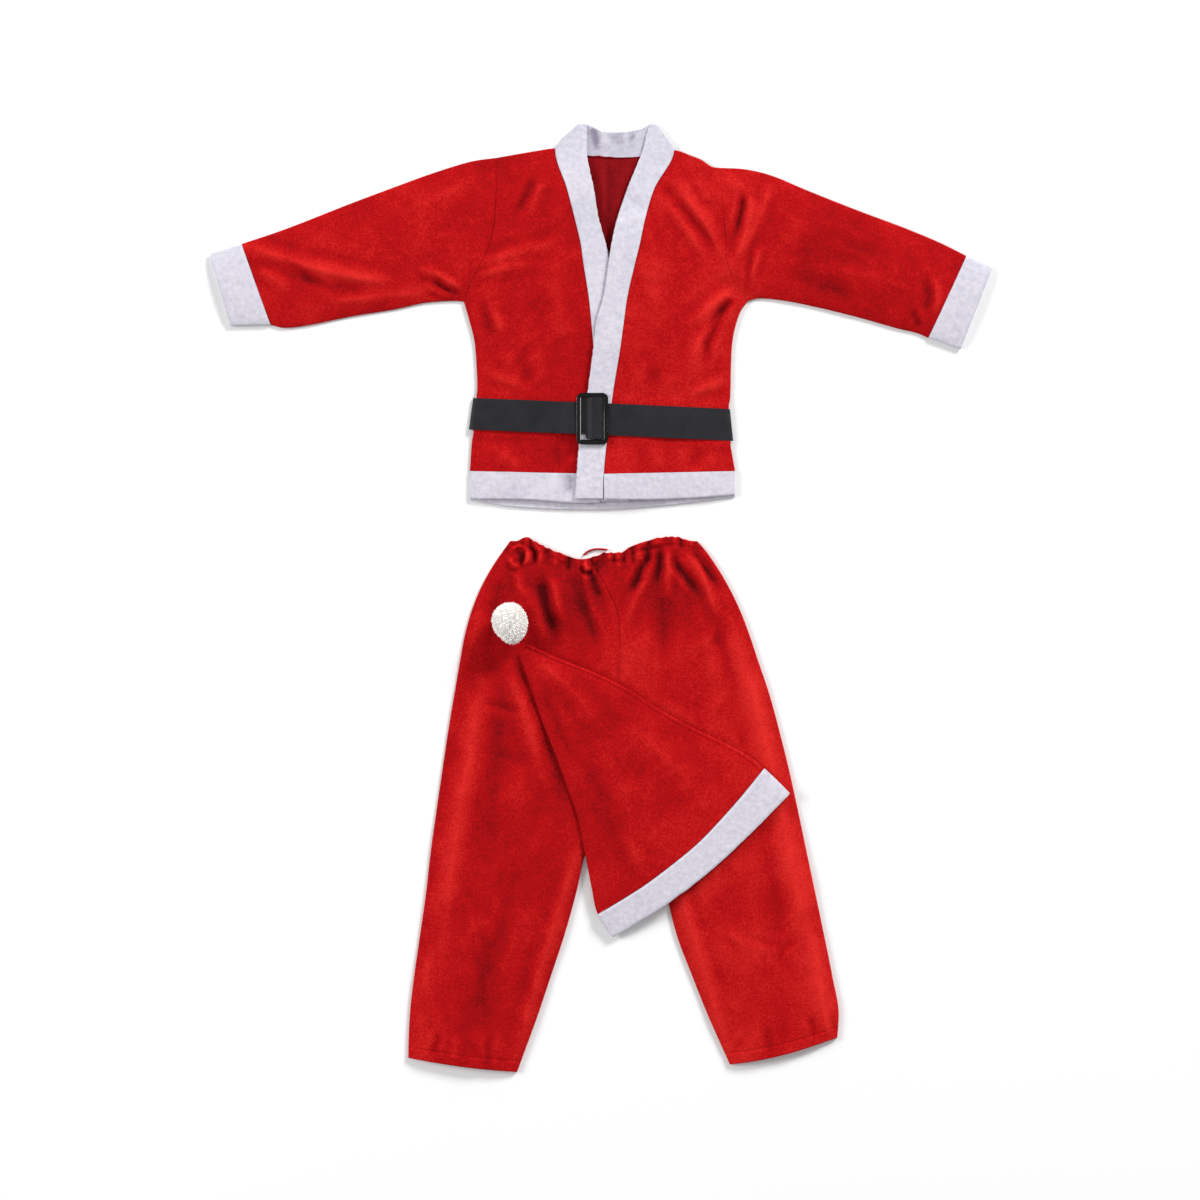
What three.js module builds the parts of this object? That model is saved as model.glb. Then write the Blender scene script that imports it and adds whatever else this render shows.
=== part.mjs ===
// A child's Santa suit laid out flat: a wrap jacket with its belt, trousers gathered at
// the waist below it, and a pointed hat with a pompom lying across the trousers. The red
// velour pieces are trimmed with white plush bands. Millimetres, +Z up.
//
// A flat piece is a box of many cells bent to the cloth's outline and height. A round
// piece (sleeve, cuff, belt, hat) is a lathed ring pressed flat. Left and right are as
// seen from above with the collar at the top (+Y). "up" is measured from the jacket's hem
// seam, "down" from the trousers' waist, and "along" from the tip of the hat.

import * as THREE from "three";

// ---- Cloth and gaps ----------------------------------------------------------------
const VELOUR = 1.5; // thickness of the red cloth
const PLUSH = 2.5; // thickness of a white band, sewn double
const WEBBING = 1.4; // thickness of the belt strap
const SEAM = 0.3; // gap left between two pieces at a seam
const REST = VELOUR + SEAM; // height at which a front lies on its back
const FLAT_TUBE = 2 * VELOUR + SEAM; // height of an empty velour tube at its folds
const BAND_REST = PLUSH + 0.5; // a front band lies on the plush of the back
const OVERLAP_REST = BAND_REST + PLUSH + SEAM; // and the right one lies on the left one
const FOLD_ROOM = 0.2; // room added to a tube's inner wall at its two folds
const PLUSH_TUBE_RISE = 1.6; // how far a cuff or a hat band stands up in the middle

// ---- Where each garment lies -------------------------------------------------------
const JACKET_AT = [3.3, 150]; // middle of the jacket's hem seam
const TROUSERS_AT = [12.9, 48]; // middle of the trousers' waist
const HAT_AT = [-93.6, -56.4]; // tip of the hat
const HAT_TURN = -50.6; // degrees from +X to the hat's own axis

// ---- Materials ---------------------------------------------------------------------
const cloth = (color, roughness) => new THREE.MeshStandardMaterial({ color, roughness, metalness: 0 });
const velour = cloth(0xb51216, 0.9);
const plush = cloth(0xdedae5, 0.95);
const webbing = cloth(0x333239, 0.7);
const blackPlastic = cloth(0x121215, 0.3);

// ---- Small tools -------------------------------------------------------------------
const mix = (a, b, t) => a + (b - a) * t;
const clamp = (v, low = 0, high = 1) => Math.min(high, Math.max(low, v));
const smooth = (low, high, v) => {
  const t = clamp((v - low) / (high - low));
  return t * t * (3 - 2 * t);
};

// The value of one column of a table at a place along another, straight between rows.
function read(table, along, column, at) {
  const rising = table[0][along] < table[table.length - 1][along];
  const rows = rising ? table : [...table].reverse();
  if (at <= rows[0][along]) return rows[0][column];
  for (let i = 1; i < rows.length; i++) {
    const before = rows[i - 1];
    const after = rows[i];
    if (at <= after[along]) {
      return mix(before[column], after[column], (at - before[along]) / (after[along] - before[along]));
    }
  }
  return rows[rows.length - 1][column];
}

// The rise of cloth between two held edges: 0 at both, 1 in the middle.
const crown = (across) => Math.sqrt(Math.sin(Math.PI * clamp(across)));

// A soft ridge along the line of a fold, strongest at its start and fading past its end.
function ridge(fold, x, y) {
  const [fromX, fromY] = fold.from;
  const [toX, toY] = fold.to;
  const runX = toX - fromX;
  const runY = toY - fromY;
  const length = Math.hypot(runX, runY);
  const along = ((x - fromX) * runX + (y - fromY) * runY) / length ** 2;
  const aside = Math.abs((x - fromX) * runY - (y - fromY) * runX) / length;
  const fade = smooth(-0.15, 0.1, along) * (1 - smooth(0.6, 1.1, along));
  return fold.high * fade * (1 - smooth(0, fold.wide, aside));
}
const ridges = (folds, x, y) => folds.reduce((sum, fold) => sum + ridge(fold, x, y), 0);

function named(name, geometry, material, x, y, z = 0) {
  const mesh = new THREE.Mesh(geometry, material);
  mesh.name = name;
  mesh.position.set(x, y, z);
  return mesh;
}

// A flat panel: under(column, row) is the point of its underside at that corner.
function panel(name, material, thickness, columns, rows, under, at) {
  const geometry = new THREE.BoxGeometry(1, 1, 1, columns, rows, 1);
  const place = geometry.getAttribute("position");
  for (let i = 0; i < place.count; i++) {
    const column = Math.round((place.getX(i) + 0.5) * columns);
    const row = Math.round((0.5 - place.getY(i)) * rows);
    const [x, y, z] = under(column, row);
    place.setXYZ(i, x, y, z + (place.getZ(i) > 0 ? thickness : 0));
  }
  return named(name, geometry, material, ...at);
}

// Places across a flat tube from fold to fold, closer together near the folds.
const evenStations = (count) =>
  Array.from({ length: count + 1 }, (_, i) => (1 - Math.cos((Math.PI * i) / count)) / 2);

// A tube pressed flat. spot(along, across) is its plan, from one open end to the other and
// from one fold to the other. low and high are the outsides of its two layers. It starts as
// a round ring whose two radii only keep its outside apart from its inside.
const RING = { outside: 2, inside: 1 };
function flatTube(name, material, thickness, steps, shape) {
  const half = shape.stations.length - 1;
  const around = 2 * half;
  const profile = [];
  for (let j = 0; j <= steps; j++) profile.push(new THREE.Vector2(RING.outside, j));
  for (let j = steps; j >= 0; j--) profile.push(new THREE.Vector2(RING.inside, j));
  profile.push(profile[0].clone());
  const geometry = new THREE.LatheGeometry(profile, around);

  // A tube that runs the other way is wound the other way, so its faces still point out.
  const [startX, startY] = shape.spot(0, 0);
  const [endX, endY] = shape.spot(1, 0);
  const [acrossX, acrossY] = shape.spot(0, 1);
  const turn = (endX - startX) * (acrossY - startY) - (endY - startY) * (acrossX - startX);

  const place = geometry.getAttribute("position");
  for (let i = 0; i < place.count; i++) {
    const spoke = Math.floor(i / profile.length) % around;
    const corner = (i % profile.length) % (2 * steps + 2);
    const inside = corner > steps;
    const along = (inside ? 2 * steps + 1 - corner : corner) / steps;
    const station = spoke <= half ? spoke : around - spoke;
    const onFold = station === 0 || station === half;
    const below = spoke < half === turn > 0;
    const inset = inside ? (thickness + FOLD_ROOM) / shape.width(along) : 0;
    const across = mix(inset, 1 - inset, shape.stations[station]);
    const [x, y] = shape.spot(along, across);
    const low = shape.low(along, across);
    const high = shape.high(along, across);
    const wall = inside ? thickness : 0;
    const layer = below ? low + wall : high - wall;
    place.setXYZ(i, x, y, onFold ? (low + high) / 2 : layer);
  }
  const mesh = named(name, geometry, material, ...shape.at);
  mesh.rotation.z = THREE.MathUtils.degToRad(shape.turned ?? 0);
  return mesh;
}

// ---- Jacket: outline -----------------------------------------------------------------
// Sections of the body from the shoulders to the hem seam. The first eight end at the
// armholes, the rest at the side seams. Four of them run along the belt.
const BELT_UP = 66.5; // middle of the belt at the middle of the body
const BELT_TILT = -0.043; // the belt lies a little aslant
const BODY = [
  { leftX: -127.5, leftUp: 380.4, middleUp: 390, rightX: 139.5, rightUp: 368.4 },
  { leftX: -128, leftUp: 342, middleUp: 342, rightX: 143, rightUp: 329 },
  { leftX: -129.3, leftUp: 312, middleUp: 306, rightX: 145.5, rightUp: 303 },
  { leftX: -135.3, leftUp: 278.4, middleUp: 276, rightX: 147.3, rightUp: 282 },
  { leftX: -147.3, leftUp: 252, middleUp: 252, rightX: 149.1, rightUp: 255.6 },
  { leftX: -159.3, leftUp: 228, middleUp: 228, rightX: 155.1, rightUp: 236.4 },
  { leftX: -163, leftUp: 217, middleUp: 214, rightX: 164.7, rightUp: 219.6 },
  { leftX: -166.5, leftUp: 207.6, middleUp: 202, rightX: 174.3, rightUp: 208.8 },
  { leftX: -160, leftUp: 185, middleUp: 182, rightX: 163.5, rightUp: 192 },
  { leftX: -153.3, leftUp: 156, middleUp: 150, rightX: 155.1, rightUp: 156 },
  { leftX: -150, leftUp: 107, middleUp: 100.5, rightX: 154.5, rightUp: 94 },
  { leftX: -150, leftUp: 95, middleUp: 88.5, rightX: 148.5, rightUp: 82 },
  { leftX: -155, leftUp: 51, middleUp: 44.5, rightX: 152.5, rightUp: 38 },
  { leftX: -158, leftUp: 39, middleUp: 32.5, rightX: 156.5, rightUp: 26 },
  { leftX: -159.3, leftUp: 4.8, middleUp: 1.2, rightX: 158.7, rightUp: 4.8 },
];
const HEM_ROW = BODY.length - 1;
const UNDERARM_ROW = 7;
// The shoulders and the back of the neck.
const BACK_TOP = [
  { x: -127.5, up: 380.4 },
  { x: -104, up: 384.4 },
  { x: -80, up: 388.4 },
  { x: -57.3, up: 391.5 },
  { x: -40, up: 386.5 },
  { x: -19, up: 383.4 },
  { x: 11, up: 381 },
  { x: 46, up: 382.2 },
  { x: 68, up: 385.5 },
  { x: 85.5, up: 389.4 },
  { x: 106, up: 382.8 },
  { x: 118, up: 378 },
  { x: 131, up: 369.6 },
  { x: 139.5, up: 368.4 },
];
// How high a section lies at a place across the body.
function bodyUp(row, x) {
  if (row === 0) return read(BACK_TOP, "x", "up", x);
  const { leftX, leftUp, middleUp, rightX, rightUp } = BODY[row];
  return x < 0 ? mix(middleUp, leftUp, x / leftX) : mix(middleUp, rightUp, x / rightX);
}

// The two bands of the fronts: seam is where a band meets the velour, edge is its free
// side. The left band runs on under the right front.
const LEFT_BAND = [
  { up: 421, seam: -29.7, edge: -19 },
  { up: 412, seam: -40, edge: -19 },
  { up: 402, seam: -51, edge: -19 },
  { up: 390, seam: -57, edge: -19 },
  { up: 342, seam: -42.7, edge: -10.5 },
  { up: 306, seam: -33.3, edge: -4.5 },
  { up: 276, seam: -26.3, edge: 4 },
  { up: 252, seam: -23, edge: 9.2 },
  { up: 214, seam: -17, edge: 14.3 },
  { up: 150, seam: -10.5, edge: 22.5 },
  { up: 100.5, seam: -4.7, edge: 28 },
  { up: 44.5, seam: -3.3, edge: 31 },
  { up: -32, seam: -3.3, edge: 31.5 },
];
const RIGHT_BAND = [
  { up: 421, seam: 63, edge: 56 },
  { up: 412, seam: 71, edge: 53.5 },
  { up: 402, seam: 78.3, edge: 51 },
  { up: 390, seam: 85.5, edge: 48 },
  { up: 342, seam: 61.5, edge: 29.1 },
  { up: 306, seam: 50.7, edge: 17.1 },
  { up: 276, seam: 44.3, edge: 10.3 },
  { up: 252, seam: 38.4, edge: 6.6 },
  { up: 214, seam: 29.7, edge: 1 },
  { up: 182, seam: 25.1, edge: -8 },
  { up: 150, seam: 20.7, edge: -11.7 },
  { up: 100.5, seam: 12.6, edge: -18 },
  { up: 44.5, seam: 5.4, edge: -27.5 },
  { up: 1.2, seam: 1.2, edge: -31.3 },
  { up: -29, seam: 0.3, edge: -33.3 },
];
// The top edge of the band round the back of the neck: two peaks and a dip between.
const NECK_TOP = [
  { x: -57.3, up: 394 },
  { x: -51, up: 402 },
  { x: -40, up: 411.5 },
  { x: -29.7, up: 420.5 },
  { x: -19, up: 420 },
  { x: -2, up: 412.8 },
  { x: 11, up: 411 },
  { x: 27, up: 411.6 },
  { x: 46, up: 415.5 },
  { x: 57, up: 420.5 },
  { x: 63, up: 420.5 },
  { x: 68, up: 415 },
  { x: 78.3, up: 402 },
  { x: 85.5, up: 392 },
];
// The free lower edges of the white bands at the bottom.
const HEM_FOOT = [
  { x: -159.3, front: -28.8, back: -30.5 },
  { x: -120, front: -29.5, back: -37 },
  { x: -87, front: -30, back: -40 },
  { x: -40, front: -33.6, back: -42 },
  { x: -3.6, front: -33.8, back: -42 },
  { x: 1.6, front: -30, back: -42 },
  { x: 50, front: -30, back: -39 },
  { x: 105, front: -28, back: -33.6 },
  { x: 158.7, front: -24, back: -26.4 },
];

// ---- Jacket: height ------------------------------------------------------------------
const BELT_WIDTH = 38;
const BELT_LIFT = WEBBING + SEAM; // the back lies over the belt's back stretch
const BELT_CLEAR = 22; // half of the stretch that is fully lifted
const BELT_SLOPE = 34; // half of the stretch that is lifted at all
const beltMiddle = (x) => BELT_UP + BELT_TILT * x;
const beltLift = (x, up) => {
  const away = Math.abs(up - beltMiddle(x));
  return BELT_LIFT * (1 - clamp((away - BELT_CLEAR) / (BELT_SLOPE - BELT_CLEAR)));
};
// How far a front stands off the back, at its outer rim and over the chest.
const FULLNESS = [
  { up: 390, rim: 0, chest: 0.6 },
  { up: 340, rim: 1.4, chest: 2.2 },
  { up: 270, rim: 1.8, chest: 2.8 },
  { up: 207, rim: 0.2, chest: 2.8 },
  { up: 125, rim: 0, chest: 2.4 },
  { up: 100, rim: 0, chest: 1.4 },
  { up: 88, rim: 0, chest: 0.8 },
  { up: 44, rim: 0, chest: 0.8 },
  { up: 0, rim: 0.2, chest: 1.2 },
];
const FRONT_EDGE_REST = BAND_REST + 0.4; // a front's height where it meets its band
// The fronts' largest folds, from the underarms inwards.
const FRONT_FOLDS = [
  { from: [-146, 236], to: [-49, 282], wide: 24, high: 1.4 },
  { from: [-134, 196], to: [-119, 170], wide: 16, high: 1.2 },
  { from: [150, 250], to: [80, 340], wide: 24, high: 1.6 },
  { from: [158, 200], to: [98, 168], wide: 22, high: 1.4 },
];
// The right front and its band come down off the left band beyond its edge, and lie
// straight on the back above the place where the two bands cross.
const LAP_END = 36;
const LAP_FALL = 60;
const LAP_ROOM = 0.2; // the cloth of the right front stands this much over its band's foot
const CROSSING = { from: 276, to: 330 };
const aboveCrossing = (up) => smooth(CROSSING.from, CROSSING.to, up);
const LEFT_SPREAD = 1.25; // the left front is level over its inner fifth

function leftFrontRest(x, up, fromSide) {
  const base = mix(REST + read(FULLNESS, "up", "rim", up), FRONT_EDGE_REST, fromSide);
  const rise = read(FULLNESS, "up", "chest", up) + ridges(FRONT_FOLDS, x, up);
  // The left front lies flat where the right band covers it.
  return beltLift(x, up) + base + rise * crown(fromSide * LEFT_SPREAD);
}
function rightFrontRest(x, up, fromSide) {
  const base = mix(REST + read(FULLNESS, "up", "rim", up), FRONT_EDGE_REST, fromSide);
  const rise = read(FULLNESS, "up", "chest", up) + ridges(FRONT_FOLDS, x, up);
  const loose = base + rise * crown(fromSide);
  const lapped = mix(OVERLAP_REST + LAP_ROOM, loose, clamp((x - LAP_END) / LAP_FALL));
  return beltLift(x, up) + mix(lapped, loose, aboveCrossing(up));
}
const leftBandRest = (x, up) => beltLift(x, up) + BAND_REST;
const rightBandRest = (x, up) =>
  beltLift(x, up) + mix(OVERLAP_REST, BAND_REST, aboveCrossing(up));

// ---- Jacket: pieces ------------------------------------------------------------------
function jacketBack() {
  const span = BODY[0].rightX - BODY[0].leftX;
  return panel("jacket_back", velour, VELOUR, BACK_TOP.length - 1, HEM_ROW, (column, row) => {
    const part = (BACK_TOP[column].x - BODY[0].leftX) / span;
    const x = mix(BODY[row].leftX, BODY[row].rightX, part);
    const up = bodyUp(row, x);
    return [x, up, beltLift(x, up)];
  }, JACKET_AT);
}

function jacketFront(name, side, band, rest) {
  const columns = 7;
  return panel(name, velour, VELOUR, columns, HEM_ROW, (column, row) => {
    const fromSide = side < 0 ? column / columns : 1 - column / columns;
    const section = BODY[row];
    const outer = side < 0 ? section.leftX : section.rightX;
    const inner = read(band, "up", "seam", section.middleUp) + side * SEAM;
    const x = mix(outer, inner, fromSide);
    const up = bodyUp(row, x);
    return [x, up, rest(x, up, fromSide)];
  }, JACKET_AT);
}

// A band has a row at each section of the body, three more up to the peak of the collar
// and two more down to its foot.
const PEAK_ROWS = 3;
const FOOT_ROWS = 2;
function frontBand(name, side, table, rest) {
  const peak = table.slice(0, PEAK_ROWS);
  const columns = 3;
  const foot = table[table.length - 1].up;
  return panel(name, plush, PLUSH, columns, PEAK_ROWS + HEM_ROW + FOOT_ROWS, (column, row) => {
    const part = side < 0 ? column / columns : 1 - column / columns;
    const section = row - PEAK_ROWS;
    const across = (up) => mix(read(table, "up", "seam", up), read(table, "up", "edge", up), part);
    if (section < 0) {
      const up = peak[row].up;
      return [across(up), up, rest(across(up), up)];
    }
    if (section > HEM_ROW) {
      const up = (foot * (section - HEM_ROW)) / FOOT_ROWS;
      return [across(up), up, rest(across(up), up)];
    }
    const x = across(BODY[section].middleUp);
    const up = bodyUp(section, x);
    return [x, up, rest(x, up)];
  }, JACKET_AT);
}

// The band round the back of the neck lies under the two front bands at its ends and
// stands up a little where it shows between them.
const NECK_OPEN = { from: -19, to: 46, lean: 2.4 };
function neckBand() {
  const rows = 2;
  return panel("neck_band", plush, PLUSH, NECK_TOP.length - 1, rows, (column, row) => {
    const { x, up: top } = NECK_TOP[column];
    const foot = bodyUp(0, x) + SEAM;
    const part = 1 - row / rows;
    const open = crown((x - NECK_OPEN.from) / (NECK_OPEN.to - NECK_OPEN.from));
    return [x, mix(foot, top, part), NECK_OPEN.lean * open * part ** 2];
  }, JACKET_AT);
}

const HEM_CELL = 26; // length of one cell of a hem band
const HEM_OPENING = { left: -3.3, right: 1.3 }; // ends of the hem bands at the front bands
function hemBand(name, from, to, edge, rest) {
  const columns = Math.round((to - from) / HEM_CELL);
  const rows = 2;
  return panel(name, plush, PLUSH, columns, rows, (column, row) => {
    const x = mix(from, to, column / columns);
    const seam = bodyUp(HEM_ROW, x) - SEAM;
    return [x, mix(seam, read(HEM_FOOT, "x", edge, x), row / rows), rest(x)];
  }, JACKET_AT);
}
const HEM_RISE = { high: 0.8, run: 120 };
const leftHemRest = (x) =>
  BAND_REST + HEM_RISE.high * crown((x - BODY[HEM_ROW].leftX) / HEM_RISE.run);
const rightHemRest = (x) => mix(OVERLAP_REST, BAND_REST, clamp((x - LAP_END) / LAP_FALL));

// ---- Sleeves and cuffs ---------------------------------------------------------------
// Sections from the armhole to the cuff: top is the fold from the shoulder, foot the
// underarm seam.
const LEFT_SLEEVE = [
  { section: 0, topX: -127.5, topUp: 380.4, footX: -166.5, footUp: 207.6 },
  { section: 1, topX: -159.3, topUp: 375.6, footX: -177.3, footUp: 208.8 },
  { section: 2, topX: -202.5, topUp: 362.4, footX: -213.3, footUp: 206.4 },
  { section: 3, topX: -245.7, topUp: 346.8, footX: -252.9, footUp: 198 },
  { section: 4, topX: -303.3, topUp: 325.2, footX: -300.9, footUp: 190.2 },
  { section: 5, topX: -360.9, topUp: 302.4, footX: -351.3, footUp: 180 },
  { section: 6, topX: -393.3, topUp: 290.4, footX: -381.3, footUp: 176.4 },
  { section: 7, topX: -432.9, topUp: 277.2, footX: -398.1, footUp: 180 },
];
const RIGHT_SLEEVE = [
  { section: 0, topX: 139.5, topUp: 368.4, footX: 174.3, footUp: 208.8 },
  { section: 1, topX: 170.7, topUp: 366.6, footX: 188.7, footUp: 211.8 },
  { section: 2, topX: 203.1, topUp: 358.8, footX: 218.7, footUp: 208.8 },
  { section: 3, topX: 246.3, topUp: 340.8, footX: 254.7, footUp: 201.6 },
  { section: 4, topX: 303.9, topUp: 318, footX: 303.9, footUp: 189.6 },
  { section: 5, topX: 361.5, topUp: 296.4, footX: 350.7, footUp: 176.4 },
  { section: 6, topX: 404.7, topUp: 278.4, footX: 375.9, footUp: 170.4 },
  { section: 7, topX: 435.9, topUp: 262.8, footX: 390.3, footUp: 164.4 },
];
const LAST_SECTION = LEFT_SLEEVE.length - 1;
const LEFT_CUFF_END = { topX: -471.3, topUp: 265.2, footX: -446.1, footUp: 178.8 };
const RIGHT_CUFF_END = { topX: 467.1, topUp: 248.4, footX: 428.7, footUp: 150.6 };
const SLEEVE_FOLDS = [
  { from: [-208, 212], to: [-325, 205], wide: 20, high: 1.2 },
  { from: [-430, 274], to: [-215, 222], wide: 22, high: 1.2 },
  { from: [168, 230], to: [196, 330], wide: 22, high: 1.6 },
  { from: [382, 180], to: [384, 240], wide: 18, high: 1.2 },
];
const SLEEVE_RISE = { body: 2.4, cuff: 1.6 };
const SLEEVE_WIDTH = { body: 175, cuff: 103 };
const ARMHOLE_REACH = 1 / 3; // share of the sleeve that still shows the armhole's curve
const CUFF_WIDTH = 92;
const CUFF_STATIONS = 8;

// The places round a sleeve, at the sections of the armhole and halfway between them.
function armholeStations(side) {
  const ups = BODY.slice(0, UNDERARM_ROW + 1).map((row) => (side < 0 ? row.leftUp : row.rightUp));
  const parts = ups.map((up) => (ups[0] - up) / (ups[0] - ups[UNDERARM_ROW]));
  return parts.flatMap((part, i) => (i === 0 ? [part] : [(parts[i - 1] + part) / 2, part]));
}
function sleeve(name, table, side) {
  const armhole = BODY.slice(0, UNDERARM_ROW + 1).map((row) => ({
    up: side < 0 ? row.leftUp : row.rightUp,
    x: side < 0 ? row.leftX : row.rightX,
  }));
  const spot = (along, across) => {
    const at = (column) => read(table, "section", column, along * LAST_SECTION);
    const first = table[0];
    // Near the body the sleeve follows the curve of the armhole.
    const chord = mix(first.topX, first.footX, across);
    const curve = read(armhole, "up", "x", mix(first.topUp, first.footUp, across));
    const near = 1 - clamp(along / ARMHOLE_REACH);
    const x = mix(at("topX"), at("footX"), across) + (curve - chord + side * SEAM) * near;
    return [x, mix(at("topUp"), at("footUp"), across)];
  };
  return flatTube(name, velour, VELOUR, LAST_SECTION, {
    at: JACKET_AT,
    stations: armholeStations(side),
    width: (along) => mix(SLEEVE_WIDTH.body, SLEEVE_WIDTH.cuff, along),
    spot,
    low: () => 0,
    high: (along, across) => {
      const rise = mix(SLEEVE_RISE.body, SLEEVE_RISE.cuff, along);
      return FLAT_TUBE + (rise + ridges(SLEEVE_FOLDS, ...spot(along, across))) * crown(across);
    },
  });
}
function cuff(name, table, end, side) {
  const start = table[LAST_SECTION];
  return flatTube(name, plush, PLUSH, 2, {
    at: JACKET_AT,
    stations: evenStations(CUFF_STATIONS),
    width: () => CUFF_WIDTH,
    spot: (along, across) => {
      const topX = mix(start.topX + side * SEAM, end.topX, along);
      const footX = mix(start.footX + side * SEAM, end.footX, along);
      const topUp = mix(start.topUp, end.topUp, along);
      const footUp = mix(start.footUp, end.footUp, along);
      return [mix(topX, footX, across), mix(topUp, footUp, across)];
    },
    low: () => 0,
    high: (along, across) => 2 * PLUSH + SEAM + PLUSH_TUBE_RISE * crown(across),
  });
}

// ---- Belt ----------------------------------------------------------------------------
// A webbing ring: under the back, round both sides and over the fronts. across runs from
// the left fold to the right one, height is the underside of the stretch over the fronts.
const UNDER_BUCKLE = 10.6; // where the strap crosses both front bands
const BELT_OVER = [
  { across: 0, height: 3.9 },
  { across: 0.0055, height: 5.4 },
  { across: 0.03, height: 5.8 },
  { across: 0.1, height: 6.6 },
  { across: 0.2, height: 7.2 },
  { across: 0.34, height: 7.2 },
  { across: 0.385, height: UNDER_BUCKLE },
  { across: 0.46, height: UNDER_BUCKLE },
  { across: 0.53, height: UNDER_BUCKLE },
  { across: 0.62, height: UNDER_BUCKLE },
  { across: 0.7, height: 9.4 },
  { across: 0.8, height: 7.6 },
  { across: 0.9, height: 6.6 },
  { across: 0.97, height: 5.8 },
  { across: 0.9945, height: 5.4 },
  { across: 1, height: 3.9 },
];
const BELT_TOP_EDGE = { left: -155.5, right: 152.5 };
const BELT_LOW_EDGE = { left: -160.5, right: 156.5 };
function beltStrap() {
  return flatTube("belt_strap", webbing, WEBBING, 2, {
    at: JACKET_AT,
    stations: BELT_OVER.map((row) => row.across),
    width: () => BELT_TOP_EDGE.right - BELT_TOP_EDGE.left,
    spot: (along, across) => {
      const left = mix(BELT_TOP_EDGE.left, BELT_LOW_EDGE.left, along);
      const right = mix(BELT_TOP_EDGE.right, BELT_LOW_EDGE.right, along);
      const x = mix(left, right, across);
      return [x, beltMiddle(x) + BELT_WIDTH * (0.5 - along)];
    },
    low: () => 0,
    high: (along, across) => read(BELT_OVER, "across", "height", across) + WEBBING,
  });
}

// The buckle is a moulded frame with round corners and a centre bar. It lies on the strap,
// and the strap's other end passes up through the frame and over the bar.
const BUCKLE = { x: -12.5, up: 66.9, width: 36.7, height: 60.6, corner: 6, thick: 2.6 };
const BUCKLE_RAIL = 4; // side rails
const BUCKLE_END = 4.5; // top and bottom rails
const BUCKLE_BAR = { left: -10, right: -6 };
const BUCKLE_WINDOW_CORNER = 1.5;
const BUCKLE_REST = UNDER_BUCKLE + WEBBING + SEAM; // it lies on the strap

function roundedRectangle(path, left, right, low, high, radius) {
  const quarter = Math.PI / 2;
  path.moveTo(right, high - radius);
  path.absarc(right - radius, high - radius, radius, 0, quarter, false);
  path.absarc(left + radius, high - radius, radius, quarter, 2 * quarter, false);
  path.absarc(left + radius, low + radius, radius, 2 * quarter, 3 * quarter, false);
  path.absarc(right - radius, low + radius, radius, 3 * quarter, 4 * quarter, false);
  path.closePath();
  return path;
}
function buckleFrame() {
  const left = -BUCKLE.width / 2;
  const low = -BUCKLE.height / 2;
  const outline = roundedRectangle(new THREE.Shape(), left, -left, low, -low, BUCKLE.corner);
  const windows = [
    [left + BUCKLE_RAIL, BUCKLE_BAR.left - BUCKLE.x],
    [BUCKLE_BAR.right - BUCKLE.x, -left - BUCKLE_RAIL],
  ];
  for (const [from, to] of windows) {
    const path = new THREE.Path();
    const foot = low + BUCKLE_END;
    outline.holes.push(roundedRectangle(path, from, to, foot, -foot, BUCKLE_WINDOW_CORNER));
  }
  const geometry = new THREE.ExtrudeGeometry(outline, {
    depth: BUCKLE.thick,
    bevelEnabled: false,
    curveSegments: 4,
  });
  const x = JACKET_AT[0] + BUCKLE.x;
  return named("buckle_frame", geometry, blackPlastic, x, JACKET_AT[1] + BUCKLE.up, BUCKLE_REST);
}
// The tail climbs to the bar and stays level until it is clear of it on both sides.
const TAIL = { left: -17.7, right: 1.2, low: 52, high: 91.5, clear: 2 };
function beltTail() {
  const columns = 8;
  const climb = BUCKLE.thick + 2 * SEAM;
  return panel("belt_tail", webbing, WEBBING, columns, 1, (column, row) => {
    const x = mix(TAIL.left, TAIL.right, column / columns);
    const upToBar = smooth(TAIL.left, BUCKLE_BAR.left - TAIL.clear, x);
    const overBar = upToBar * (1 - smooth(BUCKLE_BAR.right + TAIL.clear, TAIL.right, x));
    return [x, mix(TAIL.high, TAIL.low, row), BUCKLE_REST + climb * overBar];
  }, JACKET_AT);
}

// ---- Trousers ------------------------------------------------------------------------
// outer is the side seam. inner is the centre seam down to the crotch, then the inseam.
const CROTCH = 252;
const LEFT_LEG = [
  { down: -24, outer: -119.7, inner: -30 },
  { down: -4, outer: -134, inner: -25 },
  { down: 14, outer: -145.5, inner: -16 },
  { down: 36, outer: -157, inner: -4 },
  { down: 60, outer: -166.5, inner: 7 },
  { down: 90, outer: -175, inner: 11 },
  { down: 120, outer: -180.7, inner: 11 },
  { down: 160, outer: -187.5, inner: 8.5 },
  { down: 205, outer: -195, inner: 5 },
  { down: 252, outer: -202, inner: 1.5 },
  { down: 300, outer: -209, inner: -12 },
  { down: 350, outer: -216, inner: -30 },
  { down: 400, outer: -221.7, inner: -41.5 },
  { down: 450, outer: -228.8, inner: -55.5 },
  { down: 500, outer: -236, inner: -72 },
  { down: 545, outer: -241, inner: -87 },
  { down: 614, outer: -243.5, inner: -113 },
];
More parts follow.
